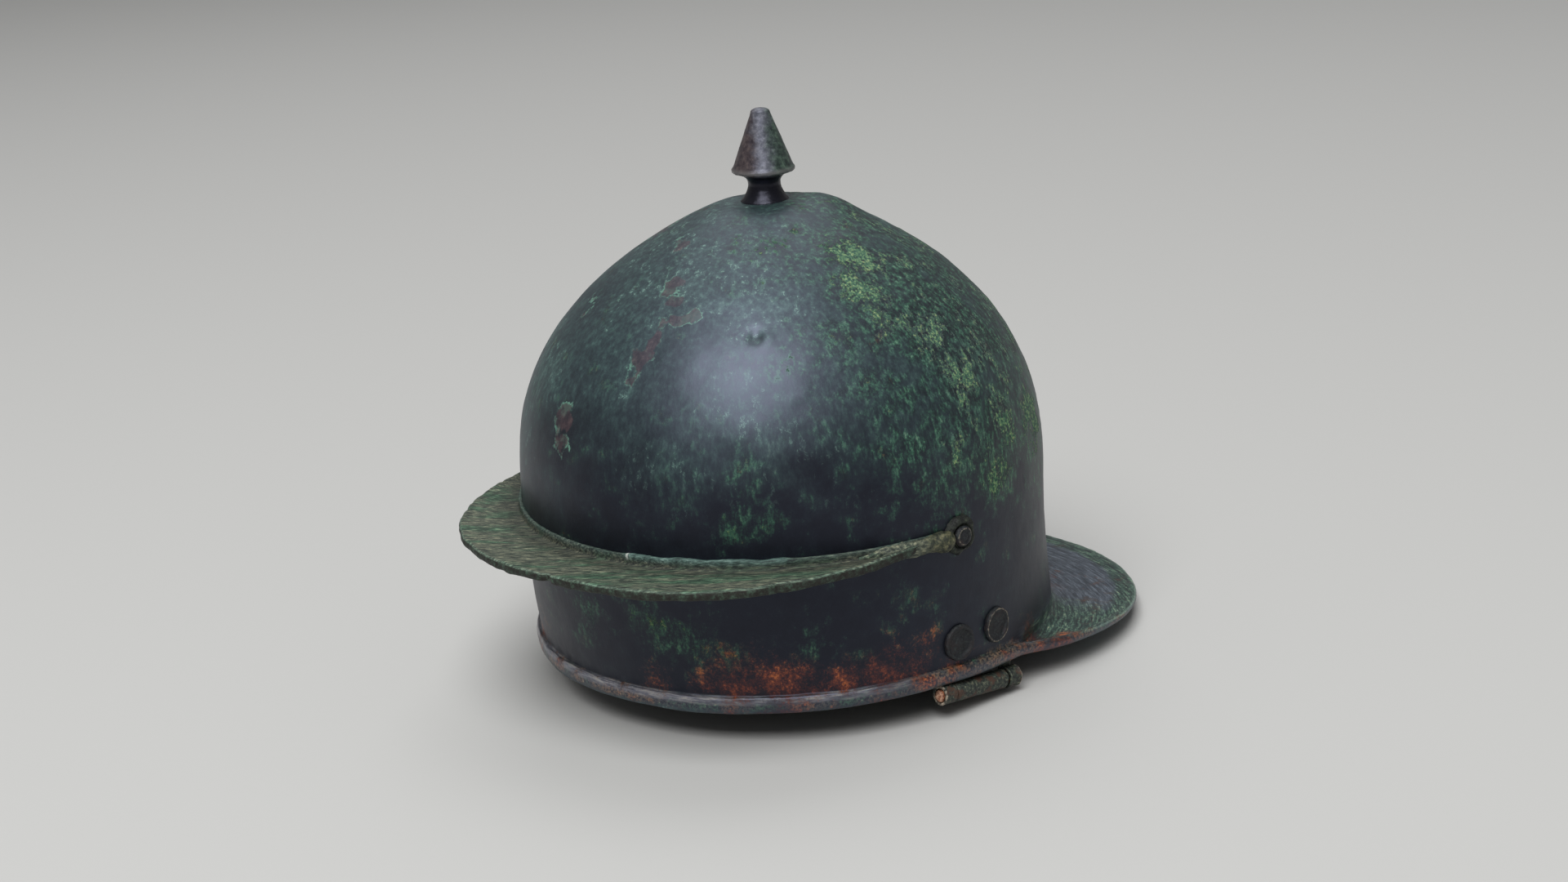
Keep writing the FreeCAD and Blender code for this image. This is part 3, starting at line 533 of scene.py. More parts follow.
def hammered_bronze():
    """The bowl's material: layers of colour over one another, each shared by noise and a mask."""
    material, put = new_material("patinated_hammered_bronze")
    place = put("TexCoord", output="Object")
    along = put("Attribute", output="Vector", attribute_name="streaks")
    rings = put("Attribute", output="Vector", attribute_name="rings")
    names = ("malachite", "worn", "cuprite", "film", "shelf", "shelf_green", "bead", "bead_top_highlight", "edge")
    mark = {name: put("Attribute", output="Fac", attribute_name=name) for name in names}
    rough = {"Detail": 7, "Roughness": 0.7}
    patch, cloud, streak, speck, dot, brushed = (
        put("TexNoise", {"Vector": where, "Scale": per_metre(width), **rough})
        for where, width in (
            (place, PATCH_WIDTH), (place, CLOUD_WIDTH), (along, STREAK_WIDTH),
            (along, SPECK_WIDTH), (place, DOT_WIDTH), (rings, BRUSHED_WIDTH),
        )
    )

    # The bare skin, and the film over it
    skin = put("ValToRGB", {"Fac": patch}, stops=((0.4, "#06080e"), (0.54, "#0c1017"), (0.66, "#131c1c")))
    tone = put("Math", {0: cloud, 1: 0.8, 2: streak}, **TIMES_PLUS)
    tone = put("Math", {0: tone, 1: 0.667}, **TIMES)
    stops = ((0.46, "#1b2727"), (0.56, "#243333"), (0.64, "#2f4441"), (0.73, "#45605a"), (0.84, "#86a294"))
    film = put("ValToRGB", {"Fac": tone}, stops=stops)
    reach = put("Math", {0: patch, 1: 0.9, 2: mark["film"]}, **TIMES_PLUS)
    share = put("MapRange", {"Value": reach, "From Min": 0.4, "From Max": 1.35}, **S_CURVE)
    colour = put("Mix", {"Factor": share, "A": skin, "B": film}, **COLOURS)

    # Pale hairlines, broken, where one layer of the film ends on another
    away = put("Math", {0: cloud, 1: 0.55}, operation="SUBTRACT")
    away = put("Math", {0: away}, operation="ABSOLUTE")
    hairline = put("MapRange", {"Value": away, "From Min": 0.007, "From Max": 0.002}, **S_CURVE)
    share = put("MapRange", {"Value": speck, "From Min": 0.5, "From Max": 0.6, "To Max": 0.6}, **S_CURVE)
    hairline = put("Math", {0: hairline, 1: share}, **TIMES)
    hairline = put("Math", {0: hairline, 1: mark["film"]}, **TIMES)
    colour = put("Mix", {"Factor": hairline, "A": colour, "B": "#86aa9c"}, **COLOURS)

    # Green stains, dark green grains, and the malachite crust on them
    fine = put("Math", {0: dot, 1: 0.5, 2: speck}, **TIMES_PLUS)
    stops = ((0.62, "#0a1410"), (0.71, "#16271e"), (0.79, "#274b38"), (0.87, "#437557"), (0.96, "#83a685"))
    stain = put("ValToRGB", {"Fac": fine}, stops=stops)
    stained = put("Math", {0: patch, 1: 2.6, 2: mark["malachite"]}, **TIMES_PLUS)
    grains = put("Math", {0: patch, 1: 0.9, 2: fine}, **TIMES_PLUS)
    stops = ((0.4, "#214431"), (0.49, "#3d6b4b"), (0.58, "#739662"), (0.67, "#b8bc84"))
    crust = put("ValToRGB", {"Fac": dot}, stops=stops)
    reach = put("Math", {0: patch, 1: 1.9, 2: fine}, **TIMES_PLUS)
    reach = put("Math", {0: cloud, 1: 0.9, 2: reach}, **TIMES_PLUS)
    reach = put("Math", {0: mark["malachite"], 1: 0.65, 2: reach}, **TIMES_PLUS)
    layers = ((stained, 1.4, 2.05, stain), (grains, 1.37, 1.5, "#26483a"), (reach, 2.62, 2.84, crust))
    for value, low, high, over in layers:
        share = put("MapRange", {"Value": value, "From Min": low, "From Max": high}, **S_CURVE)
        colour = put("Mix", {"Factor": share, "A": colour, "B": over}, **COLOURS)
    crusted = share

    # Red brown places where the film has flaked off, with a broken pale green outline
    ragged = put("Math", {0: fine, 1: 0.7, 2: mark["worn"]}, **TIMES_PLUS)
    share = put("MapRange", {"Value": patch, "From Min": 0.44, "From Max": 0.56}, **S_CURVE)
    pale = put("Mix", {"Factor": share, "A": colour, "B": "#618f7c"}, **COLOURS)
    share = put("MapRange", {"Value": ragged, "From Min": 0.96, "From Max": 1.0}, **S_CURVE)
    colour = put("Mix", {"Factor": share, "A": colour, "B": pale}, **COLOURS)
    bare = put("ValToRGB", {"Fac": speck}, stops=((0.4, "#2a2224"), (0.56, "#3f2f31"), (0.7, "#5a4744")))
    share = put("MapRange", {"Value": ragged, "From Min": 0.99, "From Max": 1.12, "To Max": 0.8}, **S_CURVE)
    colour = put("Mix", {"Factor": share, "A": colour, "B": bare}, **COLOURS)

    # The rim's bead: rusty and green in patches, with a pale lavender grey highlight painted
    # along its top at the front
    stops = ((0.38, "#3a5946"), (0.45, "#3f4140"), (0.5, "#5f5445"), (0.55, "#755c45"), (0.62, "#70381f"))
    bead = put("ValToRGB", {"Fac": patch}, stops=stops)
    share = put("MapRange", {"Value": dot, "From Min": 0.42, "From Max": 0.56}, **S_CURVE)
    bead = put("Mix", {"Factor": share, "A": "#1a1a1c", "B": bead}, **COLOURS)
    share = put("MapRange", {"Value": dot, "From Min": 0.61, "From Max": 0.7}, **S_CURVE)
    bead = put("Mix", {"Factor": share, "A": bead, "B": "#b5a890"}, **COLOURS)
    lit = put("ValToRGB", {"Fac": brushed}, stops=((0.36, "#45464e"), (0.5, "#7b7b85"), (0.64, "#b3b0ab")))
    share = put("MapRange", {"Value": patch, "From Min": 0.62, "From Max": 0.5, "To Max": 0.8}, **S_CURVE)
    share = put("Math", {0: mark["bead_top_highlight"], 1: share}, **TIMES)
    bead = put("Mix", {"Factor": share, "A": bead, "B": lit}, **COLOURS)
    colour = put("Mix", {"Factor": mark["bead"], "A": colour, "B": bead}, **COLOURS)

    # The neck guard: brushed grey, green towards its edge and its ends
    grey = put("ValToRGB", {"Fac": brushed}, stops=((0.38, "#2b3238"), (0.5, "#454d56"), (0.62, "#6c757f")))
    scraped = put("Math", {0: dot, 1: 0.5, 2: brushed}, **TIMES_PLUS)
    stops = ((0.6, "#131a18"), (0.7, "#23342d"), (0.79, "#3a5549"), (0.87, "#66836c"), (0.96, "#a3a78c"))
    green = put("ValToRGB", {"Fac": scraped}, stops=stops)
    reach = put("Math", {0: patch, 1: 1.8, 2: mark["shelf_green"]}, **TIMES_PLUS)
    share = put("MapRange", {"Value": reach, "From Min": 1.05, "From Max": 1.75}, **S_CURVE)
    shelf = put("Mix", {"Factor": share, "A": grey, "B": green}, **COLOURS)
    share = put("MapRange", {"Value": patch, "From Min": 0.56, "From Max": 0.66, "To Max": 0.7}, **S_CURVE)
    shelf = put("Mix", {"Factor": share, "A": shelf, "B": "#40302a"}, **COLOURS)
    colour = put("Mix", {"Factor": mark["shelf"], "A": colour, "B": shelf}, **COLOURS)
    # A pale green highlight painted along the neck guard's edge, broken by grains.
    share = put("Math", {0: mark["edge"], 1: dot}, **TIMES)
    colour = put("Mix", {"Factor": share, "A": colour, "B": "#9fbcab"}, **COLOURS)

    # Cuprite: dark red, orange in its grains
    grain = put("Math", {0: dot, 1: 0.6, 2: patch}, **TIMES_PLUS)
    stops = ((0.66, "#151114"), (0.76, "#2a1715"), (0.84, "#482218"), (0.91, "#70371f"), (0.98, "#ac6030"))
    red = put("ValToRGB", {"Fac": grain}, stops=stops)
    reach = put("Math", {0: grain, 1: 1.5, 2: mark["cuprite"]}, **TIMES_PLUS)
    share = put("MapRange", {"Value": reach, "From Min": 1.4, "From Max": 2.1}, **S_CURVE)
    colour = put("Mix", {"Factor": share, "A": colour, "B": red}, **COLOURS)

    roughness = put("Math", {0: streak, 1: 0.14, 2: 0.38}, **TIMES_PLUS)
    roughness = put("Math", {0: crusted, 1: 0.25, 2: roughness}, **TIMES_PLUS)
    roughness = put("Math", {0: mark["bead"], 1: -0.1, 2: roughness}, **TIMES_PLUS)
    height = put("Math", {0: crusted, 1: dot}, **TIMES)
    height = put("Math", {0: speck, 1: 0.12, 2: height}, **TIMES_PLUS)
    bump = put("Bump", {"Height": height, "Distance": 0.6 * MM})
    gloss = put("Math", {0: mark["film"], 1: 0.36, 2: 0.3}, **TIMES_PLUS)
    shader = put("BsdfPrincipled", {
        "Base Color": colour, "Roughness": roughness, "Normal": bump,
        "IOR": 1.8, "Specular IOR Level": gloss, "Specular Tint": "#c4cae6",
    })
    put("OutputMaterial", {"Surface": shader})
    return material


bowl.data.materials.append(hammered_bronze())
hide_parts("bowl")
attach(bowl, "helmet")

# The brow guard: a crescent of bronze plate that stops a downward blow, with an upturned
# flange against the bowl and a thin arm at each end, which runs back to a riveted lug.
# Its edge is corroded and nicked, and a flake has come away along part of the front.
BROW_UNDERSIDE = 57.8
BROW_OUTER_TOP = 61.4
BROW_FRONT_SEAT = 58.9
BROW_SIDE_SEAT = 60.3
BROW_HALF_WIDTH = 101.5
BROW_REACH = 109.0
BROW_END = -30.0
BROW_ROUNDNESS = 2.35
BROW_STATIONS = 520
FLANGE_TOP = 62.8
FLANGE_SHEET = 1.2
BURIED = 0.6
LEAST_REACH = 2.2
EDGE_DEPTH = 1.3
UNDER_POINTS = 12
ROUND_POINTS = 14
DISH_POINTS = 26
# How far from straight ahead, in radians, the front's shape starts and is full.
FRONT_TURN = (1.45, 0.9)
# Places along the edge are angles round the bowl in degrees, 0 at the wearer's left.
PROUD_EDGE = (-77.5, -50.6)
PROUD_BLEND = 0.7
PROUD_RISE = 0.9
TORN_FLANGE = (-83.0, -48.5)
TORN_BLEND = 1.5
CHIP = (-82.3, 0.26)
# Level direction of the streaks in the crust, and how far they are drawn out.
GRAIN = (0.76, 0.65)
GRAIN_STRETCH = 6.0
NICKS = (
    (-90.2, 0.9, 1.3), (-76.6, 0.7, 0.8), (-66.0, 1.5, 0.5), (-50.6, 0.8, 1.0), (-58.0, 0.6, 0.5),
    (-112.0, 2.0, 0.6), (-131.0, 1.2, 0.8), (-101.0, 0.7, 0.5), (-84.0, 0.8, 0.4),
)
LUG_PLACE = (-20.5, 58.9)
LUG_RADIUS = 7.4
ARM_START = -62.0
ARM_RADIUS = 3.0
ARM_BULB = 4.0
ARM_STAND = (0.6, 1.7)


def wall_angle(y, height):
    """Angle round the bowl, on the wearer's left, where the wall passes y."""
    _, _, half_length, centre, _ = SIDE
    length, middle = (np.interp(height, SIDE[0], value) for value in (half_length, centre))
    return np.arcsin((y - middle) / length)


def wall_place(y, height, side):
    """A point of the wall below the shoulder and its level outward direction, left or right."""
    angle = wall_angle(y, height)
    mirror = np.array([side, 1, 1])
    return wall(np.array(height), angle) * mirror, wall_out(angle) * mirror


def brow_share(angle):
    """The brow guard's outline as a multiple of the bowl's plan at angles round the bowl.

    The outline is an oval drawn out towards a rectangle: its sine and cosine are taken to
    a power below one.
    """
    t = np.linspace(0, math.pi, 2000)
    power = 2 / BROW_ROUNDNESS
    x = BROW_HALF_WIDTH * np.sign(np.cos(t)) * np.abs(np.cos(t)) ** power
    y = BROW_END - BROW_REACH * np.sin(t) ** power
    x, y = 2 * x / BOWL_WIDTH, 2 * y / BOWL_LENGTH
    return np.interp(angle, np.arctan2(y, x)[::-1], np.hypot(x, y)[::-1])


def between(limits, blend, value):
    """1 between two limits and 0 outside, with an S curve of twice the blend at each."""
    first, last = limits
    return smoothstep(first - blend, first + blend, value) * smoothstep(last + blend, last - blend, value)


def brow_plate():
    """The crescent as sections along radii of the bowl, each a closed loop of points.

    A loop runs out along the underside, round the edge, in along the dished top, and up
    and over the flange.
    """
    end = math.asin(2 * BROW_END / BOWL_LENGTH)
    angle = np.linspace(-math.pi - end, end, BROW_STATIONS)
    degrees = np.degrees(angle)
    seat = wall(BROW_UNDERSIDE + 0 * angle, angle)[:, :2]
    size = np.linalg.norm(seat, axis=-1)
    out = seat / size[:, None]
    front = smoothstep(*FRONT_TURN, np.abs(angle + math.pi / 2))
    ring = np.concatenate([seat, 0 * seat[:, :1]], -1)
    worn = PROUD_RISE * (between(PROUD_EDGE, PROUD_BLEND, degrees) - 0.5)
    worn = worn + 0.35 * mottle(ring, 14, 41, 3) + 0.15 * mottle(ring, 3, 40, 2)
    reach = (brow_share(angle) - 1) * size + front * worn
    for place, width, depth in NICKS:
        reach = reach - depth * np.exp(-((degrees - place) / width) ** 2)
    reach = np.maximum(reach, LEAST_REACH)
    low = BROW_UNDERSIDE - 0.3 * front * (1 + mottle(ring, 9, 42, 2))
    edge = np.minimum(EDGE_DEPTH, 0.45 * reach)
    top = BROW_OUTER_TOP + 0.2 * mottle(ring, 7, 43, 2)
    junction = BROW_SIDE_SEAT + (BROW_FRONT_SEAT - BROW_SIDE_SEAT) * front
    torn = between(TORN_FLANGE, TORN_BLEND, degrees)
    lip = FLANGE_TOP - 0.5 + 0.3 * mottle(ring, 7, 44, 3) * (0.3 + torn) + 0.6 * torn
    sheet = np.minimum(FLANGE_SHEET * (1 + 0.5 * torn), 0.45 * reach)
    loop = []
    for t in np.linspace(0, 1, UNDER_POINTS):
        loop.append((-BURIED + (reach - edge + BURIED) * t, low))
    for t in np.linspace(-math.pi / 2, math.pi / 2, ROUND_POINTS)[1:]:
        rise = (low + top) / 2 + (top - low) / 2 * math.sin(t)
        loop.append((reach - edge * (1 - math.cos(t)), rise))
    for t in np.linspace(1, 0, DISH_POINTS)[1:] ** 0.6:
        rise = (top - junction) * t ** 1.4
        loop.append((sheet + 0.5 + (reach - edge - sheet - 0.5) * t, junction + rise))
    for t, up in ((0.15, 0.12), (0, 0.35), (-0.02, 0.8), (-0.2, 1)):
        loop.append((sheet + t, junction + (lip - junction) * up))
    loop += [(0.3 * sheet, lip + 0.1), (-BURIED, lip - 0.2), (-BURIED, (low + lip) / 2)]
    distance = np.stack([np.broadcast_to(d, angle.shape) for d, _ in loop], 1)
    height = np.stack([np.broadcast_to(h, angle.shape) for _, h in loop], 1)
    flat = seat[:, None] + out[:, None] * distance[..., None]
    points = np.concatenate([flat, height[..., None]], -1)
    along = (flat * np.array(GRAIN)).sum(-1) / GRAIN_STRETCH
    across = (flat * np.array([GRAIN[1], -GRAIN[0]])).sum(-1)
    from_edge = reach[:, None] - distance
    outer = smoothstep(1.1, 0.4, from_edge)
    upper = smoothstep(top[:, None] - 0.8, top[:, None] - 0.2, height)
    chip = np.exp(-((degrees - CHIP[0]) / CHIP[1]) ** 2)[:, None]
    strip = smoothstep(BROW_SIDE_SEAT - 0.4, FLANGE_TOP - 0.8, height) * (0.35 + 0.65 * torn[:, None])
    return points, {
        "streaks": np.stack([along, across, height], -1) * MM,
        # A painted highlight along the edge's upper corner, strongest at the front.
        "line": outer * upper * (0.25 + 0.75 * front[:, None]),
        "face": smoothstep(1.3, 0.8, from_edge) * (1 - upper),
        "inner": smoothstep(14, 3, distance),
        "flange": strip * smoothstep(4, 1.5, distance),
        "chip": chip * smoothstep(FLANGE_TOP - 2.5, FLANGE_TOP - 1, height) * smoothstep(5, 2, distance),
    }


def eased(value, power):
    """The value with its size taken to a power, which squares off a circle's sides."""
    return np.sign(value) * np.abs(value) ** power


def bar(path, across, up, power=1.0, columns=48):
    """Closed loops about a path: ovals, or rounded rectangles where the power is small.

    Across and up are each loop's half sizes as directions.
    """
    turn = np.linspace(0, 2 * math.pi, columns, endpoint=False)[:, None]
    sideways = across[:, None] * eased(np.cos(turn), power)
    return path[:, None] + sideways + up[:, None] * eased(np.sin(turn), power)


def brow_arm(side):
    """An arm of the brow guard: a bar along the wall that swells to a bulb, and its crust."""
    height = LUG_PLACE[1] + 0.2
    t = np.linspace(0, 1, 90)
    first, last = (wall_angle(y, height) for y in (ARM_START, LUG_PLACE[0] - 4.0))
    angle = first + (last - first) * t
    out = wall_out(angle)
    radius = ARM_RADIUS * smoothstep(-0.3, 0.45, t) + (ARM_BULB - ARM_RADIUS) * smoothstep(0.72, 0.88, t)
    radius = radius * np.sqrt(1 - np.clip((t - 0.86) / 0.14, 0, 1) ** 2)
    path = wall(height + 0 * t, angle) + out * np.interp(t, (0.2, 0.7), ARM_STAND)[:, None]
    up = np.array([0, 0, 1.0]) * radius[:, None]
    return bar(path, out * radius[:, None], up) * np.array([side, 1, 1]), smoothstep(0.5, 0.8, t)[:, None]


def turned(profile, base, axis, ease=0.2, columns=72):
    """A shape turned about an axis, from a list of corners: radius and rise along the axis.

    The outline is cut into even steps, and each step is the mean of those near it, which
    rounds the corners off as handling and corrosion do.  Its two ends stay as they are.
    """
    corners = np.array(profile, float)
    run = np.concatenate([[0], np.cumsum(np.hypot(*np.diff(corners, axis=0).T))])
    even = np.linspace(0, run[-1], 10 * len(corners) + 40)
    outline = np.stack([np.interp(even, run, values) for values in corners.T], -1)
    near = np.exp(-0.5 * ((even[:, None] - even) / ease) ** 2)
    outline[1:-1] = (near @ outline / near.sum(1, keepdims=True))[1:-1]
    axis = np.array(axis, float) / np.linalg.norm(axis)
    across = np.cross(axis, [0, 0, 1] if abs(axis[2]) < 0.9 else [0, 1, 0])
    across /= np.linalg.norm(across)
    turn = np.linspace(0, 2 * math.pi, columns, endpoint=False)[:, None]
    ring = across * np.cos(turn) + np.cross(axis, across) * np.sin(turn)
    radius, rise = outline.T[..., None, None]
    return np.array(base) + axis * rise + ring * radius


def roughened(grid, *layers):
    """The grid moved square to itself by mottling: each layer is a rise, a size and a seed."""
    rise = sum(height * mottle(grid, size, seed, 3) for height, size, seed in layers)
    return grid + square_out(grid) * rise[..., None]


def brow_lug(side):
    """The lug: a rough disc against the wall, dished round the rivet."""
    profile = (
        (0, -0.8), (LUG_RADIUS, -0.8), (LUG_RADIUS, 0.9), (6.2, 2.3), (5.2, 2.5), (4.4, 1.4), (0, 1.3),
    )
    return turned(profile, *wall_place(*LUG_PLACE, side), 0.25, 96)


def brow_shells():
    """The crescent, and an arm and a lug for each side, with their marks."""
    plate, marks = brow_plate()
    rise = 0.14 * mottle(marks["streaks"] / MM, 2.2, 45, 3) + 0.15 * mottle(plate, 9, 46, 2)
    plate = plate + square_out(plate) * rise[..., None]
    shells = [(plate, {**marks, "crust": 0 * rise, "lug": 0 * rise})]
    for side in (1, -1):
        arm, crust = brow_arm(side)
        lug = brow_lug(side)
        parts = (
            (roughened(arm, (0.45, 3.5, 47), (0.3, 8, 50)), crust, 0.0),
            (roughened(lug, (0.6, 2.8, 48), (0.5, 6, 49)), 1.0, 1.0),
        )
        for grid, crust, dark in parts:
            plain = np.zeros(grid.shape[:2])
            held = {name: plain for name in ("line", "face", "inner", "flange", "chip")}
            along = grid * np.array([0.5, 0.25, 1]) * MM
            shells.append((grid, {**held, "streaks": along, "crust": plain + crust, "lug": plain + dark}))
    return shells


brow = closed_piece("brow_plate", brow_shells())


# Weathered bronze plate: the same metal as the bowl, dull and rough under a streaked tan
# and grey green crust.  A thin bright highlight is painted along the edge's upper corner,
# strongest at the front, and the torn strip of the flange is a pale grey green.
FINE_STREAK_WIDTH = 0.8
BROAD_STREAK_WIDTH = 7.0


def worn_plate():
    """The brow guard's material: streaks, then the edge's and the flange's colours by masks."""
    material, put = new_material("weathered_bronze_plate")
    place = put("TexCoord", output="Object")
    along = put("Attribute", output="Vector", attribute_name="streaks")
    names = ("line", "face", "inner", "flange", "chip", "crust", "lug")
    mark = {name: put("Attribute", output="Fac", attribute_name=name) for name in names}
    rough = {"Detail": 6, "Roughness": 0.72}
    streak, broad, speck = (
        put("TexNoise", {"Vector": where, "Scale": per_metre(width), **rough})
        for where, width in ((along, FINE_STREAK_WIDTH), (along, BROAD_STREAK_WIDTH), (place, SPECK_WIDTH))
    )

    # Streaks of tan and grey, green in places, darker beside the bowl
    stops = ((0.36, "#1f2520"), (0.45, "#3a423b"), (0.53, "#5d6456"), (0.61, "#888a73"), (0.73, "#bdbb9f"))
    colour = put("ValToRGB", {"Fac": streak}, stops=stops)
    green = put("ValToRGB", {"Fac": streak}, stops=((0.4, "#202d26"), (0.52, "#3f5b48"), (0.66, "#6f9677")))
    share = put("MapRange", {"Value": broad, "From Min": 0.47, "From Max": 0.62}, **S_CURVE)
    colour = put("Mix", {"Factor": share, "A": colour, "B": green}, **COLOURS)
    share = put("Math", {0: mark["inner"], 1: 0.6}, **TIMES)
    dark = put("ValToRGB", {"Fac": streak}, stops=((0.4, "#15181a"), (0.62, "#39382f")))
    colour = put("Mix", {"Factor": share, "A": colour, "B": dark}, **COLOURS)

    # The edge, a highlight painted along its upper corner, the flange and the chip in it
    face = put("ValToRGB", {"Fac": speck}, stops=((0.4, "#191510"), (0.52, "#242a22"), (0.66, "#405647")))
    line = put("ValToRGB", {"Fac": streak}, stops=((0.44, "#3f4d42"), (0.62, "#84a08e")))
    strip = put("ValToRGB", {"Fac": streak}, stops=((0.4, "#2f403d"), (0.54, "#557069"), (0.7, "#8ba59d")))
    for name, over in (("face", face), ("line", line), ("flange", strip), ("chip", "#d9ddd6")):
        colour = put("Mix", {"Factor": mark[name], "A": colour, "B": over}, **COLOURS)

    # The arms' crust and the lugs' darker one
    stops = ((0.36, "#14160f"), (0.48, "#33382b"), (0.58, "#5c5b42"), (0.7, "#86836a"))
    crust = put("ValToRGB", {"Fac": speck}, stops=stops)
    lug = put("ValToRGB", {"Fac": speck}, stops=((0.42, "#0e100f"), (0.58, "#2b3129"), (0.7, "#545943")))
    crust = put("Mix", {"Factor": mark["lug"], "A": crust, "B": lug}, **COLOURS)
    colour = put("Mix", {"Factor": mark["crust"], "A": colour, "B": crust}, **COLOURS)
    roughness = put("MapRange", {"Value": streak, "To Min": 0.45, "To Max": 0.8})
    height = put("Math", {0: streak, 1: 0.7, 2: speck}, **TIMES_PLUS)
    bump = put("Bump", {"Height": height, "Distance": 0.35 * MM})
    shader = put("BsdfPrincipled", {
        "Base Color": colour, "Roughness": roughness, "Normal": bump, "Specular IOR Level": 0.4,
    })
    put("OutputMaterial", {"Surface": shader})
    return material


brow.data.materials.append(worn_plate())
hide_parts("brow_guard")
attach(brow, "helmet")

# The crest knob: cast solid and turned, with a flared foot, a waist, and a cone over a
# sharp skirt.  Its tang goes down through the crown and is hammered over a washer inside.
KNOB_TAIL = -SHEET - 1.2
KNOB_HEIGHT = 37.0
KNOB_PROFILE = (
    (0, KNOB_TAIL - 1.2), (2.4, KNOB_TAIL - 1.2), (4.8, KNOB_TAIL - 0.4), (4.8, KNOB_TAIL), (3, KNOB_TAIL),
    (3, -0.8), (10.0, -0.8), (9.6, 0.6), (8.5, 1.8), (7.5, 3.4), (6.8, 5.0), (6.4, 6.6), (6.5, 8.0),
    (7.1, 9.4), (8.4, 10.6), (10.6, 11.4), (12.5, 12.0), (12.7, 13.0), (11.8, 14.2), (7.6, 25.4),
    (4.2, 34.4), (3.6, 36.1), (2.2, 36.9), (0, KNOB_HEIGHT),
)
KNOB_LEAN = (0.010, -0.006)
KNOB_COLUMNS = 120
SKIRT_RISE = 12.7
SKIRT_WIDTH = 1.0
# Level direction in which the knob's patina turns from brown to olive; between them a
# lavender grey sheen is painted, where the cone faces the camera.
GREEN_SIDE = (0.76, 0.65, 0)

knob_points = turned(KNOB_PROFILE, (0, 0, CROWN_HEIGHT), (0, 0, 1), 0.28, KNOB_COLUMNS)
knob_rise = knob_points[..., 2] - CROWN_HEIGHT
knob_points[..., :2] += np.array(KNOB_LEAN) * np.clip(knob_rise, 0, 40)[..., None]
skirt = np.exp(-((knob_rise - SKIRT_RISE) / SKIRT_WIDTH) ** 2)
knob_points = roughened(knob_points, (0.12, 9, 51), (0.06, 1.8, 52))
knob_points += square_out(knob_points) * (0.2 * skirt * mottle(knob_points, 1.6, 53, 2))[..., None]
knob = closed_piece("knob_skin", [(knob_points, {
    "rise": np.clip(knob_rise / KNOB_HEIGHT, 0, 1),
    "green": smoothstep(-9, 9, (knob_points * np.array(GREEN_SIDE)).sum(-1)),
    "skirt": skirt,
})])


# Patinated cast bronze: denser and smoother than the sheet, turning from brown to olive
# from one side to the other with a lavender grey sheen painted between them, nearly black
# in the waist, with a bright worn skirt.
KNOB_PATCH_WIDTH = 10.0


def turned_bronze():
    """The knob's material: brown, a painted grey sheen and olive in turn across it, and a dark waist."""
    material, put = new_material("patinated_turned_bronze")
    place = put("TexCoord", output="Object")
    names = ("rise", "green", "skirt")
    mark = {name: put("Attribute", output="Fac", attribute_name=name) for name in names}
    rough = {"Detail": 6, "Roughness": 0.68}
    broad = put("TexNoise", {"Vector": place, "Scale": per_metre(KNOB_PATCH_WIDTH), **rough})
    speck = put("TexNoise", {"Vector": place, "Scale": per_metre(SPECK_WIDTH), **rough})
    colour = put("ValToRGB", {"Fac": speck}, stops=((0.36, "#2b2427"), (0.5, "#3e3637"), (0.66, "#584e4c")))
    olive = put("ValToRGB", {"Fac": speck}, stops=((0.36, "#242e29"), (0.5, "#35433c"), (0.66, "#526557")))
    # The grey is a painted sheen, lavender grey like the lamp's highlight on the bowl.
    grey = put("ValToRGB", {"Fac": speck}, stops=((0.36, "#484a52"), (0.5, "#60626b"), (0.66, "#7c7e87")))
    side = put("Math", {0: broad, 1: 0.8, 2: mark["green"]}, **TIMES_PLUS)
    for low, high, over in ((0.45, 0.85, grey), (0.95, 1.35, olive)):
        share = put("MapRange", {"Value": side, "From Min": low, "From Max": high}, **S_CURVE)
        colour = put("Mix", {"Factor": share, "A": colour, "B": over}, **COLOURS)
    share = put("Math", {0: mark["skirt"], 1: 0.6}, **TIMES)
    colour = put("Mix", {"Factor": share, "A": colour, "B": "#6b6a68"}, **COLOURS)
    share = put("MapRange", {"Value": mark["rise"], "From Min": 0.27, "From Max": 0.32}, **S_CURVE)
    colour = put("Mix", {"Factor": share, "A": "#0c0c12", "B": colour}, **COLOURS)
    roughness = put("MapRange", {"Value": speck, "To Min": 0.26, "To Max": 0.44})
    bump = put("Bump", {"Height": speck, "Distance": 0.08 * MM})
    shader = put("BsdfPrincipled", {
        "Base Color": colour, "Roughness": roughness, "Normal": bump, "Specular Tint": "#d0d2ea",
    })
    put("OutputMaterial", {"Surface": shader})
    return material


knob.data.materials.append(turned_bronze())
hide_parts("crest_knob")
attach(knob, "helmet")

# The rivets: bronze, each with its head outside, its shank through the sheets, and a tail
# hammered over a washer inside.  Two flat heads on each side hold a hinge, and a domed one
# on each side holds a lug of the brow guard.
RIVET_RADIUS = 2.0
ROVE_SHEET = 1.2
DOMED_PROFILE = (
    (4.0, 1.5), (4.1, 2.4), (3.6, 3.4), (3.0, 3.9), (2.3, 3.4), (1.9, 3.3), (1.2, 3.9), (0, 4.1),
)
FLAT_PROFILE = (
    (7.0, -0.5), (7.2, 0.9), (6.7, 1.6), (5.9, 1.5), (5.1, 0.75), (2.5, 0.65), (1.6, 1.1), (0, 1.15),
)
# Radius of each head's raised rim, the rim's width, and how far it is rubbed bare.
DOMED_RIM = 3.2
FLAT_RIM = 6.5
HEAD_RIM_WIDTH = 0.5
DOMED_WEAR = 0.7
HINGE_RIVETS = {"front": (-21.8, 15.4), "rear": (-0.8, 16.2)}
FLAT_WEAR = {"front": 0.3, "rear": 0.8}
SIDES = (("left", 1), ("right", -1))
TAIL = ((0, -1.2), (1.6, -1.0), (3.2, 0), (RIVET_RADIUS, 0))
GRAIN_WIDTH = 1.2


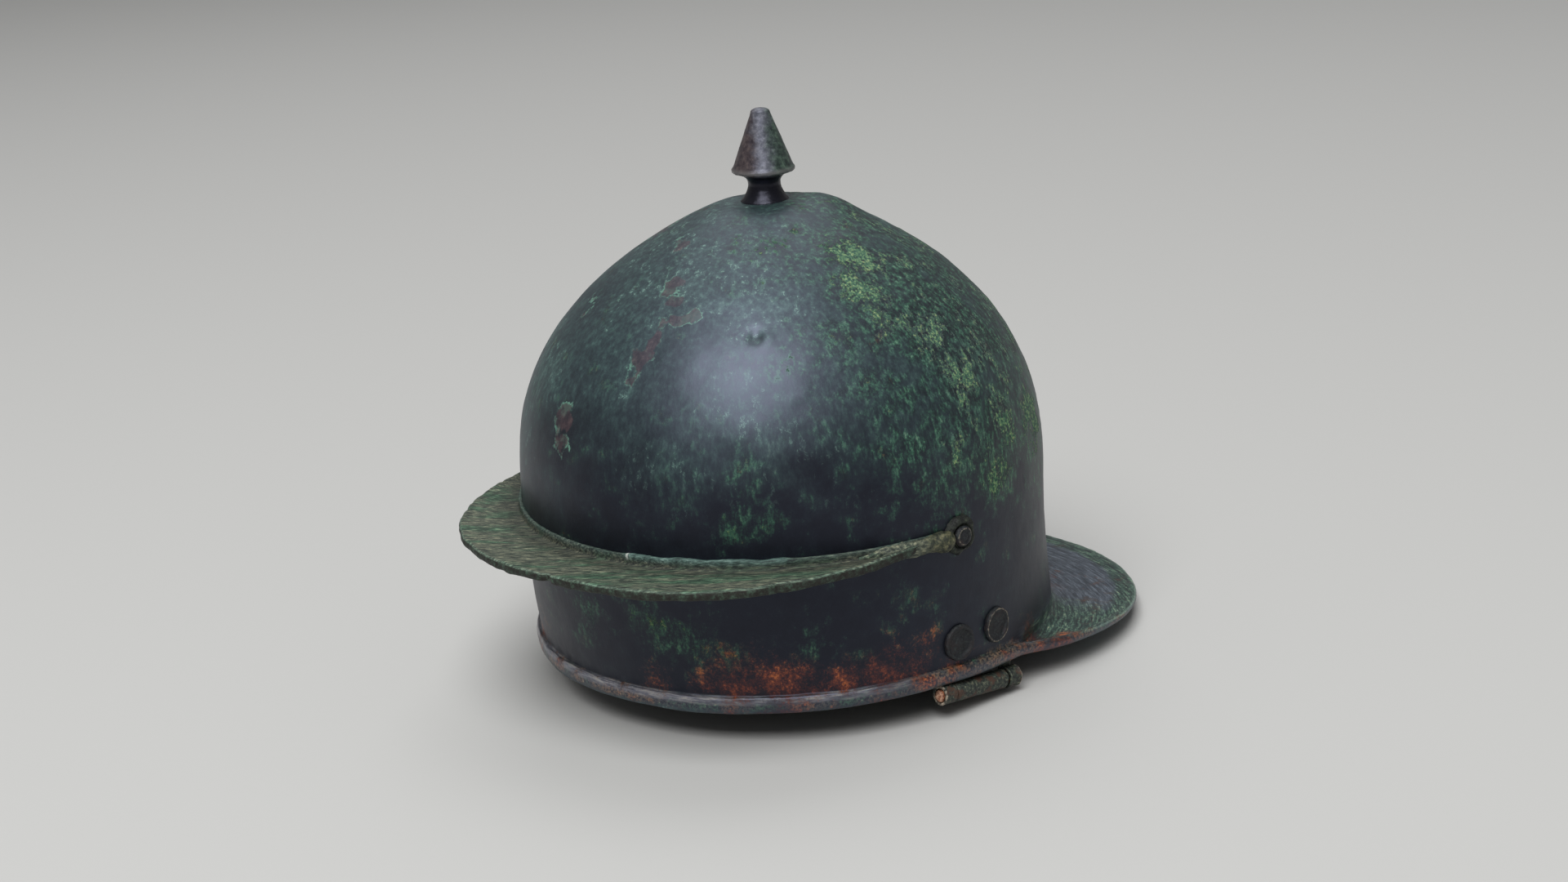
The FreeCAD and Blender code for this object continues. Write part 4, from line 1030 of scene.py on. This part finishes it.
def crusted_metal(name, crust, patch, rim):
    """Metal under a dull crust: stops of its colours, a patch's colour, and its rim's."""
    material, put = new_material(name)
    place = put("TexCoord", output="Object")
    mark = put("Attribute", output="Fac", attribute_name="rim")
    rough = {"Detail": 6, "Roughness": 0.7}
    broad = put("TexNoise", {"Vector": place, "Scale": per_metre(5 * GRAIN_WIDTH), **rough})
    speck = put("TexNoise", {"Vector": place, "Scale": per_metre(GRAIN_WIDTH), **rough})
    colour = put("ValToRGB", {"Fac": speck}, stops=crust)
    edge = put("Math", {0: speck, 1: 1.6, 2: mark}, **TIMES_PLUS)
    for value, low, high, over in ((broad, 0.5, 0.6, patch), (edge, 1.3, 1.8, rim)):
        share = put("MapRange", {"Value": value, "From Min": low, "From Max": high}, **S_CURVE)
        colour = put("Mix", {"Factor": share, "A": colour, "B": over}, **COLOURS)
    roughness = put("MapRange", {"Value": speck, "To Min": 0.45, "To Max": 0.8})
    bump = put("Bump", {"Height": speck, "Distance": 0.35 * MM})
    shader = put("BsdfPrincipled", {"Base Color": colour, "Roughness": roughness, "Normal": bump})
    put("OutputMaterial", {"Surface": shader})
    return material


# Patinated bronze of the rivets: black green in the hollow of each head, red brown in
# places, and rubbed to a pale brown grey on the raised rim.
rivet_material = crusted_metal(
    "patinated_rivet_bronze",
    ((0.38, "#090b10"), (0.52, "#12161c"), (0.62, "#252c2c"), (0.74, "#555c4c")), "#1f181b", "#857c6e",
)


def rivet(name, y, height, side, layers, head, ring, worn):
    """One rivet: tail, shank and head as a single turned outline, square to the wall.

    Ring is the radius of the head's raised rim, and worn how far it is rubbed bare.
    """
    point, out = wall_place(y, height, side)
    profile = [(radius, rise - layers - ROVE_SHEET) for radius, rise in TAIL]
    profile += [(RIVET_RADIUS, head[0][1]), *head]
    grid = turned(profile, point, out, 0.2, 96)
    away = grid - point
    rise = (away * out).sum(-1)
    radius = np.sqrt(np.maximum((away ** 2).sum(-1) - rise ** 2, 0))
    rim = worn * np.exp(-((radius - ring) / HEAD_RIM_WIDTH) ** 2) * smoothstep(0.2, 0.8, rise)
    grid = roughened(grid, (0.25, 2.4, 61), (0.12, 6, 62))
    piece = closed_piece(name + "_skin", [(grid, {"rim": rim})])
    piece.data.materials.append(rivet_material)
    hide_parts(name)
    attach(piece, "helmet")


for side_name, side in SIDES:
    rivet("brow_rivet_" + side_name, *LUG_PLACE, side, SHEET, DOMED_PROFILE, DOMED_RIM, DOMED_WEAR)
    for end, place in HINGE_RIVETS.items():
        name = f"hinge_rivet_{side_name}_{end}"
        rivet(name, *place, side, SHEET + ROVE_SHEET, FLAT_PROFILE, FLAT_RIM, FLAT_WEAR[end])

# The cheek guard hinges: a bronze leaf inside the rim, rolled into the two end knuckles, an
# iron pin, rusted, and between them the knuckle of the lost cheek guard, free to turn.
BARREL_FRONT = np.array([99.0, -31.5, -4.0])
BARREL_REAR = np.array([105.5, 9.5, -8.5])
BARREL_RADIUS = 3.75
PIN_RADIUS = 2.45
PIN_PROUD = 0.4
BORE_EASE = 0.2
END_KNUCKLE = 6.3
KNUCKLE_GAP = 0.35
LEAF_SHEET = 1.2
LEAF_TOP = 25.0
LEAF_BOTTOM = 1.0
LEAF_CORNER = 7.0
STRAP = ((-0.4, 0.0), (4.0, 0.0), (8.0, 1.2), (12.0, 1.2))
LEAF_STATIONS = 80
LEAF_LEVEL = 12.0
LEAF_GAP = 0.03
LEAF_ROWS = 24
STRAP_LOOPS = 24
TUBE_COLUMNS = 96
TUBE_ROWS = 36
SEAM_STEP = 0.35
TUBE_RAGGED = 0.35
UNWORN = {"rim": np.zeros((1, 1))}
TORN_LIP = 2.2
TORN_EDGE = ((0.0, 0.85), (0.28, 1.0), (0.55, 0.8), (0.72, 0.95), (1.0, 0.72))

barrel_length = np.linalg.norm(BARREL_REAR - BARREL_FRONT)
barrel_line = (BARREL_REAR - BARREL_FRONT) / barrel_length
barrel_out = np.cross(barrel_line, [0, 0, 1]) / np.linalg.norm(np.cross(barrel_line, [0, 0, 1]))
barrel_up = np.cross(barrel_out, barrel_line)


def rolled_tube(start, length, flare, seed, bare):
    """A sheet rolled round the pin: a tube whose skin steps down once round, at the seam.

    The radius falls by a third of a millimetre from seam to seam, and its ends are ragged
    and may flare.  The grid runs out along the skin and back along the bore.  Bare is how
    far each end is painted pale: rubbed to the metal, and a painted highlight along its rim.
    """
    turn = np.linspace(0, 2 * math.pi, TUBE_COLUMNS, endpoint=False)
    seam = SEAM_STEP * (smoothstep(0, 0.25, turn) - turn / (2 * math.pi))
    around = barrel_out * np.cos(turn)[:, None] + barrel_up * np.sin(turn)[:, None]
    t = np.linspace(0, 1, TUBE_ROWS)
    open_end = flare * (smoothstep(0.25, 0, t) + smoothstep(0.75, 1, t))
    bore = PIN_RADIUS + BORE_EASE
    skin = (BARREL_RADIUS - 0.1 + open_end)[:, None] + seam
    skin[[0, -1]] -= 0.3
    radius = np.concatenate([skin, np.broadcast_to(bore + open_end[::-1, None], skin.shape)])
    radius = np.concatenate([radius, radius[:1]])
    place = np.concatenate([t, t[::-1], t[:1]])[:, None]
    ragged = TUBE_RAGGED * mottle(around * 3.2, 1.6, seed, 2) * (0.3 + flare)
    ends = smoothstep(0.15, 0, place) - smoothstep(0.85, 1, place)
    run = start + length * place + ends * (0.1 + np.abs(ragged))
    grid = BARREL_FRONT + barrel_line * run[..., None] + around * radius[..., None]
    rise = 0.09 * mottle(grid, 2.2, seed + 1, 3)
    rise[TUBE_ROWS:-1] = 0
    grid = grid + around * rise[..., None]
    grid[-1] = grid[0]
    # The pale ends: rubbed metal, and a painted highlight along the rims.
    rim = bare[0] * smoothstep(0.14, 0, place) + bare[1] * smoothstep(0.86, 1, place)
    return grid, {"rim": np.broadcast_to(rim, radius.shape)}


def leaf_plate():
    """The leaf inside the wall: at each station a loop up its inner face and down its outer."""
    t = np.linspace(-1, 1, LEAF_STATIONS) * barrel_length / 2
    over = np.maximum(np.abs(t) - (barrel_length / 2 - LEAF_CORNER), 0)
    top = LEAF_TOP - LEAF_CORNER + np.sqrt(LEAF_CORNER ** 2 - over ** 2)
    y = (BARREL_FRONT[1] + BARREL_REAR[1]) / 2 + t * barrel_line[1]
    angle = wall_angle(y, LEAF_LEVEL)
    upwards = np.linspace(0, 1, LEAF_ROWS)
    loop = []
    for inset, shares in ((SHEET + LEAF_SHEET, upwards), (SHEET + LEAF_GAP, np.linspace(1, 0, LEAF_ROWS))):
        for share in shares:
            loop.append(wall(LEAF_BOTTOM + (top - LEAF_BOTTOM) * share, angle, inset))
    return np.array(loop).transpose(1, 0, 2), UNWORN


def leaf_strap(start):
    """A strap of the leaf, from the plate down to its knuckle, as level rounded loops."""
    rise, lean = np.array(STRAP).T
    t = np.linspace(rise[0], rise[-1], STRAP_LOOPS)
    across = np.interp(t, rise, lean) - BARREL_RADIUS + LEAF_SHEET / 2
    middle = BARREL_FRONT + barrel_line * (start + END_KNUCKLE / 2)
    path = middle + barrel_out * across[:, None] + barrel_up * t[:, None]
    along = 0 * path + barrel_line * END_KNUCKLE / 2
    return bar(path, along, 0 * path + barrel_out * LEAF_SHEET / 2, 0.3), UNWORN


def torn_lip(start, length):
    """What is left of the cheek guard: a strip below the knuckle with a ragged inner edge."""
    t = np.linspace(0.01, 0.99, 60)
    reach = (BARREL_RADIUS + TORN_LIP) * np.interp(t, *np.array(TORN_EDGE).T)
    path = BARREL_FRONT + barrel_line * (start + length * t)[:, None]
    ragged = reach + 0.35 * mottle(path, 1.5, 74, 2)
    path = path - barrel_up * (BARREL_RADIUS - LEAF_SHEET / 2) - barrel_out * ragged[:, None] / 2
    grid = bar(path, -barrel_out * ragged[:, None] / 2, 0 * path + barrel_up * LEAF_SHEET / 2, 0.45)
    return grid, {"rim": smoothstep(-2.5, -4.5, ((grid - BARREL_FRONT) * barrel_out).sum(-1))}


# Patinated bronze of the hinges: green black, with pale brown grey where the rolled sheet's
# torn ends are bare; on the outer ends' rims the pale colour is also a painted highlight.
hinge_material = crusted_metal(
    "patinated_hinge_bronze",
    ((0.38, "#15181a"), (0.48, "#2a332e"), (0.57, "#4a5145"), (0.7, "#8a8a72")), "#4a3428", "#b3a492",
)
# Rusted iron: dark brown along the pin, and a pale orange crust over its ends.
iron_material = crusted_metal(
    "rusted_iron",
    ((0.36, "#2c1a14"), (0.48, "#6b3a22"), (0.58, "#a8683f"), (0.7, "#d9b49c")), "#8a4a2a", "#cfa78e",
)
knuckle_start = END_KNUCKLE + KNUCKLE_GAP
knuckle_length = barrel_length - 2 * knuckle_start
rear_start = barrel_length - END_KNUCKLE
pin_profile = (
    (0, -PIN_PROUD - 0.1), (1.2, -PIN_PROUD - 0.3), (PIN_RADIUS - 0.15, -PIN_PROUD), (PIN_RADIUS, 0.2),
    (PIN_RADIUS, barrel_length - 0.2), (PIN_RADIUS - 0.15, barrel_length + PIN_PROUD),
    (0, barrel_length + PIN_PROUD),
)
pin_grid = turned(pin_profile, BARREL_FRONT, barrel_line, 0.12, 60)
pin_run = ((pin_grid - BARREL_FRONT) * barrel_line).sum(-1)
pin_ends = smoothstep(0.2, -0.3, pin_run) + smoothstep(-0.2, 0.3, pin_run - barrel_length)
hinge_pieces = {
    "hinge_leaf_": (
        [
            leaf_plate(), leaf_strap(0), leaf_strap(rear_start),
            # The outer end of each end knuckle is painted pale: bare metal, and a painted highlight.
            rolled_tube(0, END_KNUCKLE, 0.15, 71, (0.7, 0.1)),
            rolled_tube(rear_start, END_KNUCKLE, 0.5, 81, (0.1, 1)),
        ],
        hinge_material, "helmet", "hinge_bronze",
    ),
    "hinge_pin_": (
        [(roughened(pin_grid, (0.05, 1.5, 75)), {"rim": 0.7 * pin_ends})],
        iron_material, "helmet", "rusted_iron",
    ),
    "cheek_knuckle_": (
        [
            rolled_tube(knuckle_start, knuckle_length, 0.0, 91, (0.2, 0.2)),
            torn_lip(knuckle_start, knuckle_length),
        ],
        hinge_material, "cheek_hinge_", "hinge_bronze",
    ),
}
for side_name, side in SIDES:
    mirror = np.array([side, 1, 1])
    for node, (shells, material, body, slot) in hinge_pieces.items():
        mirrored = [(grid * mirror, marks) for grid, marks in shells]
        piece = closed_piece(node + side_name + "_skin", mirrored)
        piece.data.materials.append(material)
        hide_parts(node + side_name)
        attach(piece, body + side_name if body.endswith("_") else body)

# The fittings: a washer under each rivet's tail and under the knob's tang, and under the
# neck guard a small ring for the chin ties, which hangs folded back in the eye of a stud.
STUD_Y = 126.0
STUD_RADIUS = 1.6
STUD_HEAD_RADIUS = 4.5
STUD_HEAD_RISE = 1.3
EYE_WIRE = 0.9
EYE_HOLE = 1.35
EYE_DROP = 1.55
RING_WIRE = 1.0
RING_RADIUS = 8.0
CREST_ROVE_RADIUS = 9.0
ROVE_RADIUS = 4.5
TANG_RADIUS = 3.0

# Patinated bronze of the fittings: dull green black, kept cleaner under the bowl, with
# green grains.
fitting_material = crusted_metal(
    "patinated_fitting_bronze",
    ((0.36, "#14181a"), (0.5, "#2b3833"), (0.6, "#466053"), (0.72, "#7fa08a")), "#3b2f26", "#7d7468",
)


def washer(name, base, axis, radius, hole):
    """A washer: a ring's rounded outline carried round, and roughened by the hammer."""
    profile = (
        (hole, 0.6), (hole, 0), (radius - 0.3, 0), (radius, 0.4), (radius - 0.4, ROVE_SHEET),
        (hole, ROVE_SHEET), (hole, 0.6),
    )
    grid = roughened(turned(profile, base, axis, 0.12), (0.1, 3, 65))
    grid[-1] = grid[0]
    piece = closed_piece(name + "_skin", [(grid, UNWORN)])
    piece.data.materials.append(fitting_material)
    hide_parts(name)
    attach(piece, "helmet")


def hoop(centre, axis, radius, wire, wear):
    """A ring of round wire: circles carried round a circle, thinner where it has worn."""
    across = np.cross(axis, [1, 0, 0] if abs(axis[0]) < 0.9 else [0, 0, 1])
    across = across / np.linalg.norm(across)
    turn = np.linspace(0, 2 * math.pi, 97)[:, None]
    out = across * np.cos(turn) + np.cross(axis, across) * np.sin(turn)
    size = wire * (1 - wear * (0.5 + 0.5 * np.cos(3 * turn + 0.7)))
    grid = bar(centre + out * radius, out * size, 0 * out + np.array(axis) * size, 1.0, 32)
    grid[-1] = grid[0]
    return grid, UNWORN


washer("crest_rove", (0, 0, CROWN_HEIGHT - SHEET), (0, 0, -1), CREST_ROVE_RADIUS, TANG_RADIUS)
for side_name, side in SIDES:
    point, out = wall_place(*LUG_PLACE, side)
    washer("brow_rove_" + side_name, point - out * SHEET, -out, ROVE_RADIUS, RIVET_RADIUS)
    for end, place in HINGE_RIVETS.items():
        point, out = wall_place(*place, side)
        base = point - out * (SHEET + LEAF_SHEET)
        washer(f"hinge_rove_{side_name}_{end}", base, -out, ROVE_RADIUS, RIVET_RADIUS)

slope = math.atan(NECK_FALL)
down = np.array([0, -math.sin(slope), -math.cos(slope)])
rearward = np.array([0, math.cos(slope), -math.sin(slope)])
stud_base = np.array([0, STUD_Y, float(underside(np.array(STUD_Y)))])
eye_centre = stud_base + down * EYE_DROP
stud_profile = (
    (0, 0.2), (STUD_RADIUS, 0), (STUD_RADIUS, -NECK_SHEET), (STUD_HEAD_RADIUS, -NECK_SHEET),
    (STUD_HEAD_RADIUS - 0.2, -NECK_SHEET - 0.4), (2.6, -NECK_SHEET - 1.1),
    (0, -NECK_SHEET - STUD_HEAD_RISE),
)
stud_shells = [
    (roughened(turned(stud_profile, stud_base, down, 0.15), (0.08, 2, 66)), UNWORN),
    hoop(eye_centre, np.array([1.0, 0, 0]), EYE_HOLE + EYE_WIRE, EYE_WIRE, 0.05),
]
ring_shells = [hoop(eye_centre + rearward * RING_RADIUS, down, RING_RADIUS, RING_WIRE, 0.1)]
for node, shells, body in (("tie_stud", stud_shells, "helmet"), ("tie_ring", ring_shells, "tie_ring")):
    piece = closed_piece(node + "_skin", shells)
    piece.data.materials.append(fitting_material)
    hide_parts(node)
    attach(piece, body)

# The studio: a plain pale floor, a large soft box up on the wearer's left in front, a
# second one high behind, which keeps the floor even, and an even pale sky.
CAMERA_AZIMUTH = math.radians(40.5)
CAMERA_ELEVATION = math.radians(16.9)
CAMERA_ROLL = math.radians(3.6)
CAMERA_DISTANCE = 1000.0
CAMERA_LENS = 56.25
CAMERA_SENSOR = 36.0
CAMERA_AIM = (1.4, 75.0)
FLOOR_HALF = 8.0
# Each lamp: direction from the helmet, distance and width in metres, power in watts.
LAMPS = {
    "front_soft_box": ((0.235, -0.49, 0.84), 3.2, 2.1, 92.0),
    "rear_soft_box": ((-0.30, 0.36, 0.88), 3.2, 2.6, 24.0),
}
LAMP_AIM = (0, 0, 0.09)
SKY_LEVEL = 0.22


def aimed(place, towards, roll=0):
    """Turn and place for a camera or lamp at place that looks towards a point."""
    back = (Vector(place) - Vector(towards)).normalized()
    right = Vector((0, 0, 1)).cross(back).normalized()
    up = back.cross(right)
    x_axis = right * math.cos(roll) - up * math.sin(roll)
    y_axis = right * math.sin(roll) + up * math.cos(roll)
    turn = Matrix((x_axis, y_axis, back)).transposed().to_4x4()
    return Matrix.Translation(place) @ turn


right = Vector((math.cos(CAMERA_AZIMUTH), math.sin(CAMERA_AZIMUTH), 0))
back = Vector((
    math.sin(CAMERA_AZIMUTH) * math.cos(CAMERA_ELEVATION),
    -math.cos(CAMERA_AZIMUTH) * math.cos(CAMERA_ELEVATION),
    math.sin(CAMERA_ELEVATION),
))
aim = (right * CAMERA_AIM[0] + Vector((0, 0, CAMERA_AIM[1]))) * MM
camera = bpy.data.objects.new("camera", bpy.data.cameras.new("camera"))
camera.data.sensor_width = CAMERA_SENSOR
camera.data.lens = CAMERA_LENS
camera.matrix_world = aimed(aim + back * CAMERA_DISTANCE * MM, aim, CAMERA_ROLL)
bpy.context.scene.collection.objects.link(camera)
bpy.context.scene.camera = camera

low = CAD_BOX[0].z
corners = [(x * FLOOR_HALF, y * FLOOR_HALF, low) for x, y in ((-1, -1), (1, -1), (1, 1), (-1, 1))]
floor_mesh = bpy.data.meshes.new("floor")
floor_mesh.from_pydata(corners, [], [(0, 1, 2, 3)])
floor = bpy.data.objects.new("floor", floor_mesh)
bpy.context.scene.collection.objects.link(floor)
# Pale matt board: it takes the soft shadows and gives no reflection.
floor_material, put = new_material("pale_matt_floor")
shader = put("BsdfPrincipled", {"Base Color": "#c8c8c6", "Roughness": 0.9, "Specular IOR Level": 0.1})
put("OutputMaterial", {"Surface": shader})
floor.data.materials.append(floor_material)

for name, (direction, distance, width, power) in LAMPS.items():
    lamp = bpy.data.lights.new(name, "AREA")
    lamp.shape = "SQUARE"
    lamp.size = width
    lamp.energy = power
    lamp_object = bpy.data.objects.new(name, lamp)
    lamp_object.matrix_world = aimed(Vector(direction) * distance, LAMP_AIM)
    bpy.context.scene.collection.objects.link(lamp_object)
world = bpy.data.worlds.new("studio")
world.use_nodes = True
world.node_tree.nodes["Background"].inputs["Color"].default_value = (1, 1, 1, 1)
world.node_tree.nodes["Background"].inputs["Strength"].default_value = SKY_LEVEL
bpy.context.scene.world = world
bpy.context.scene.view_settings.view_transform = "Standard"
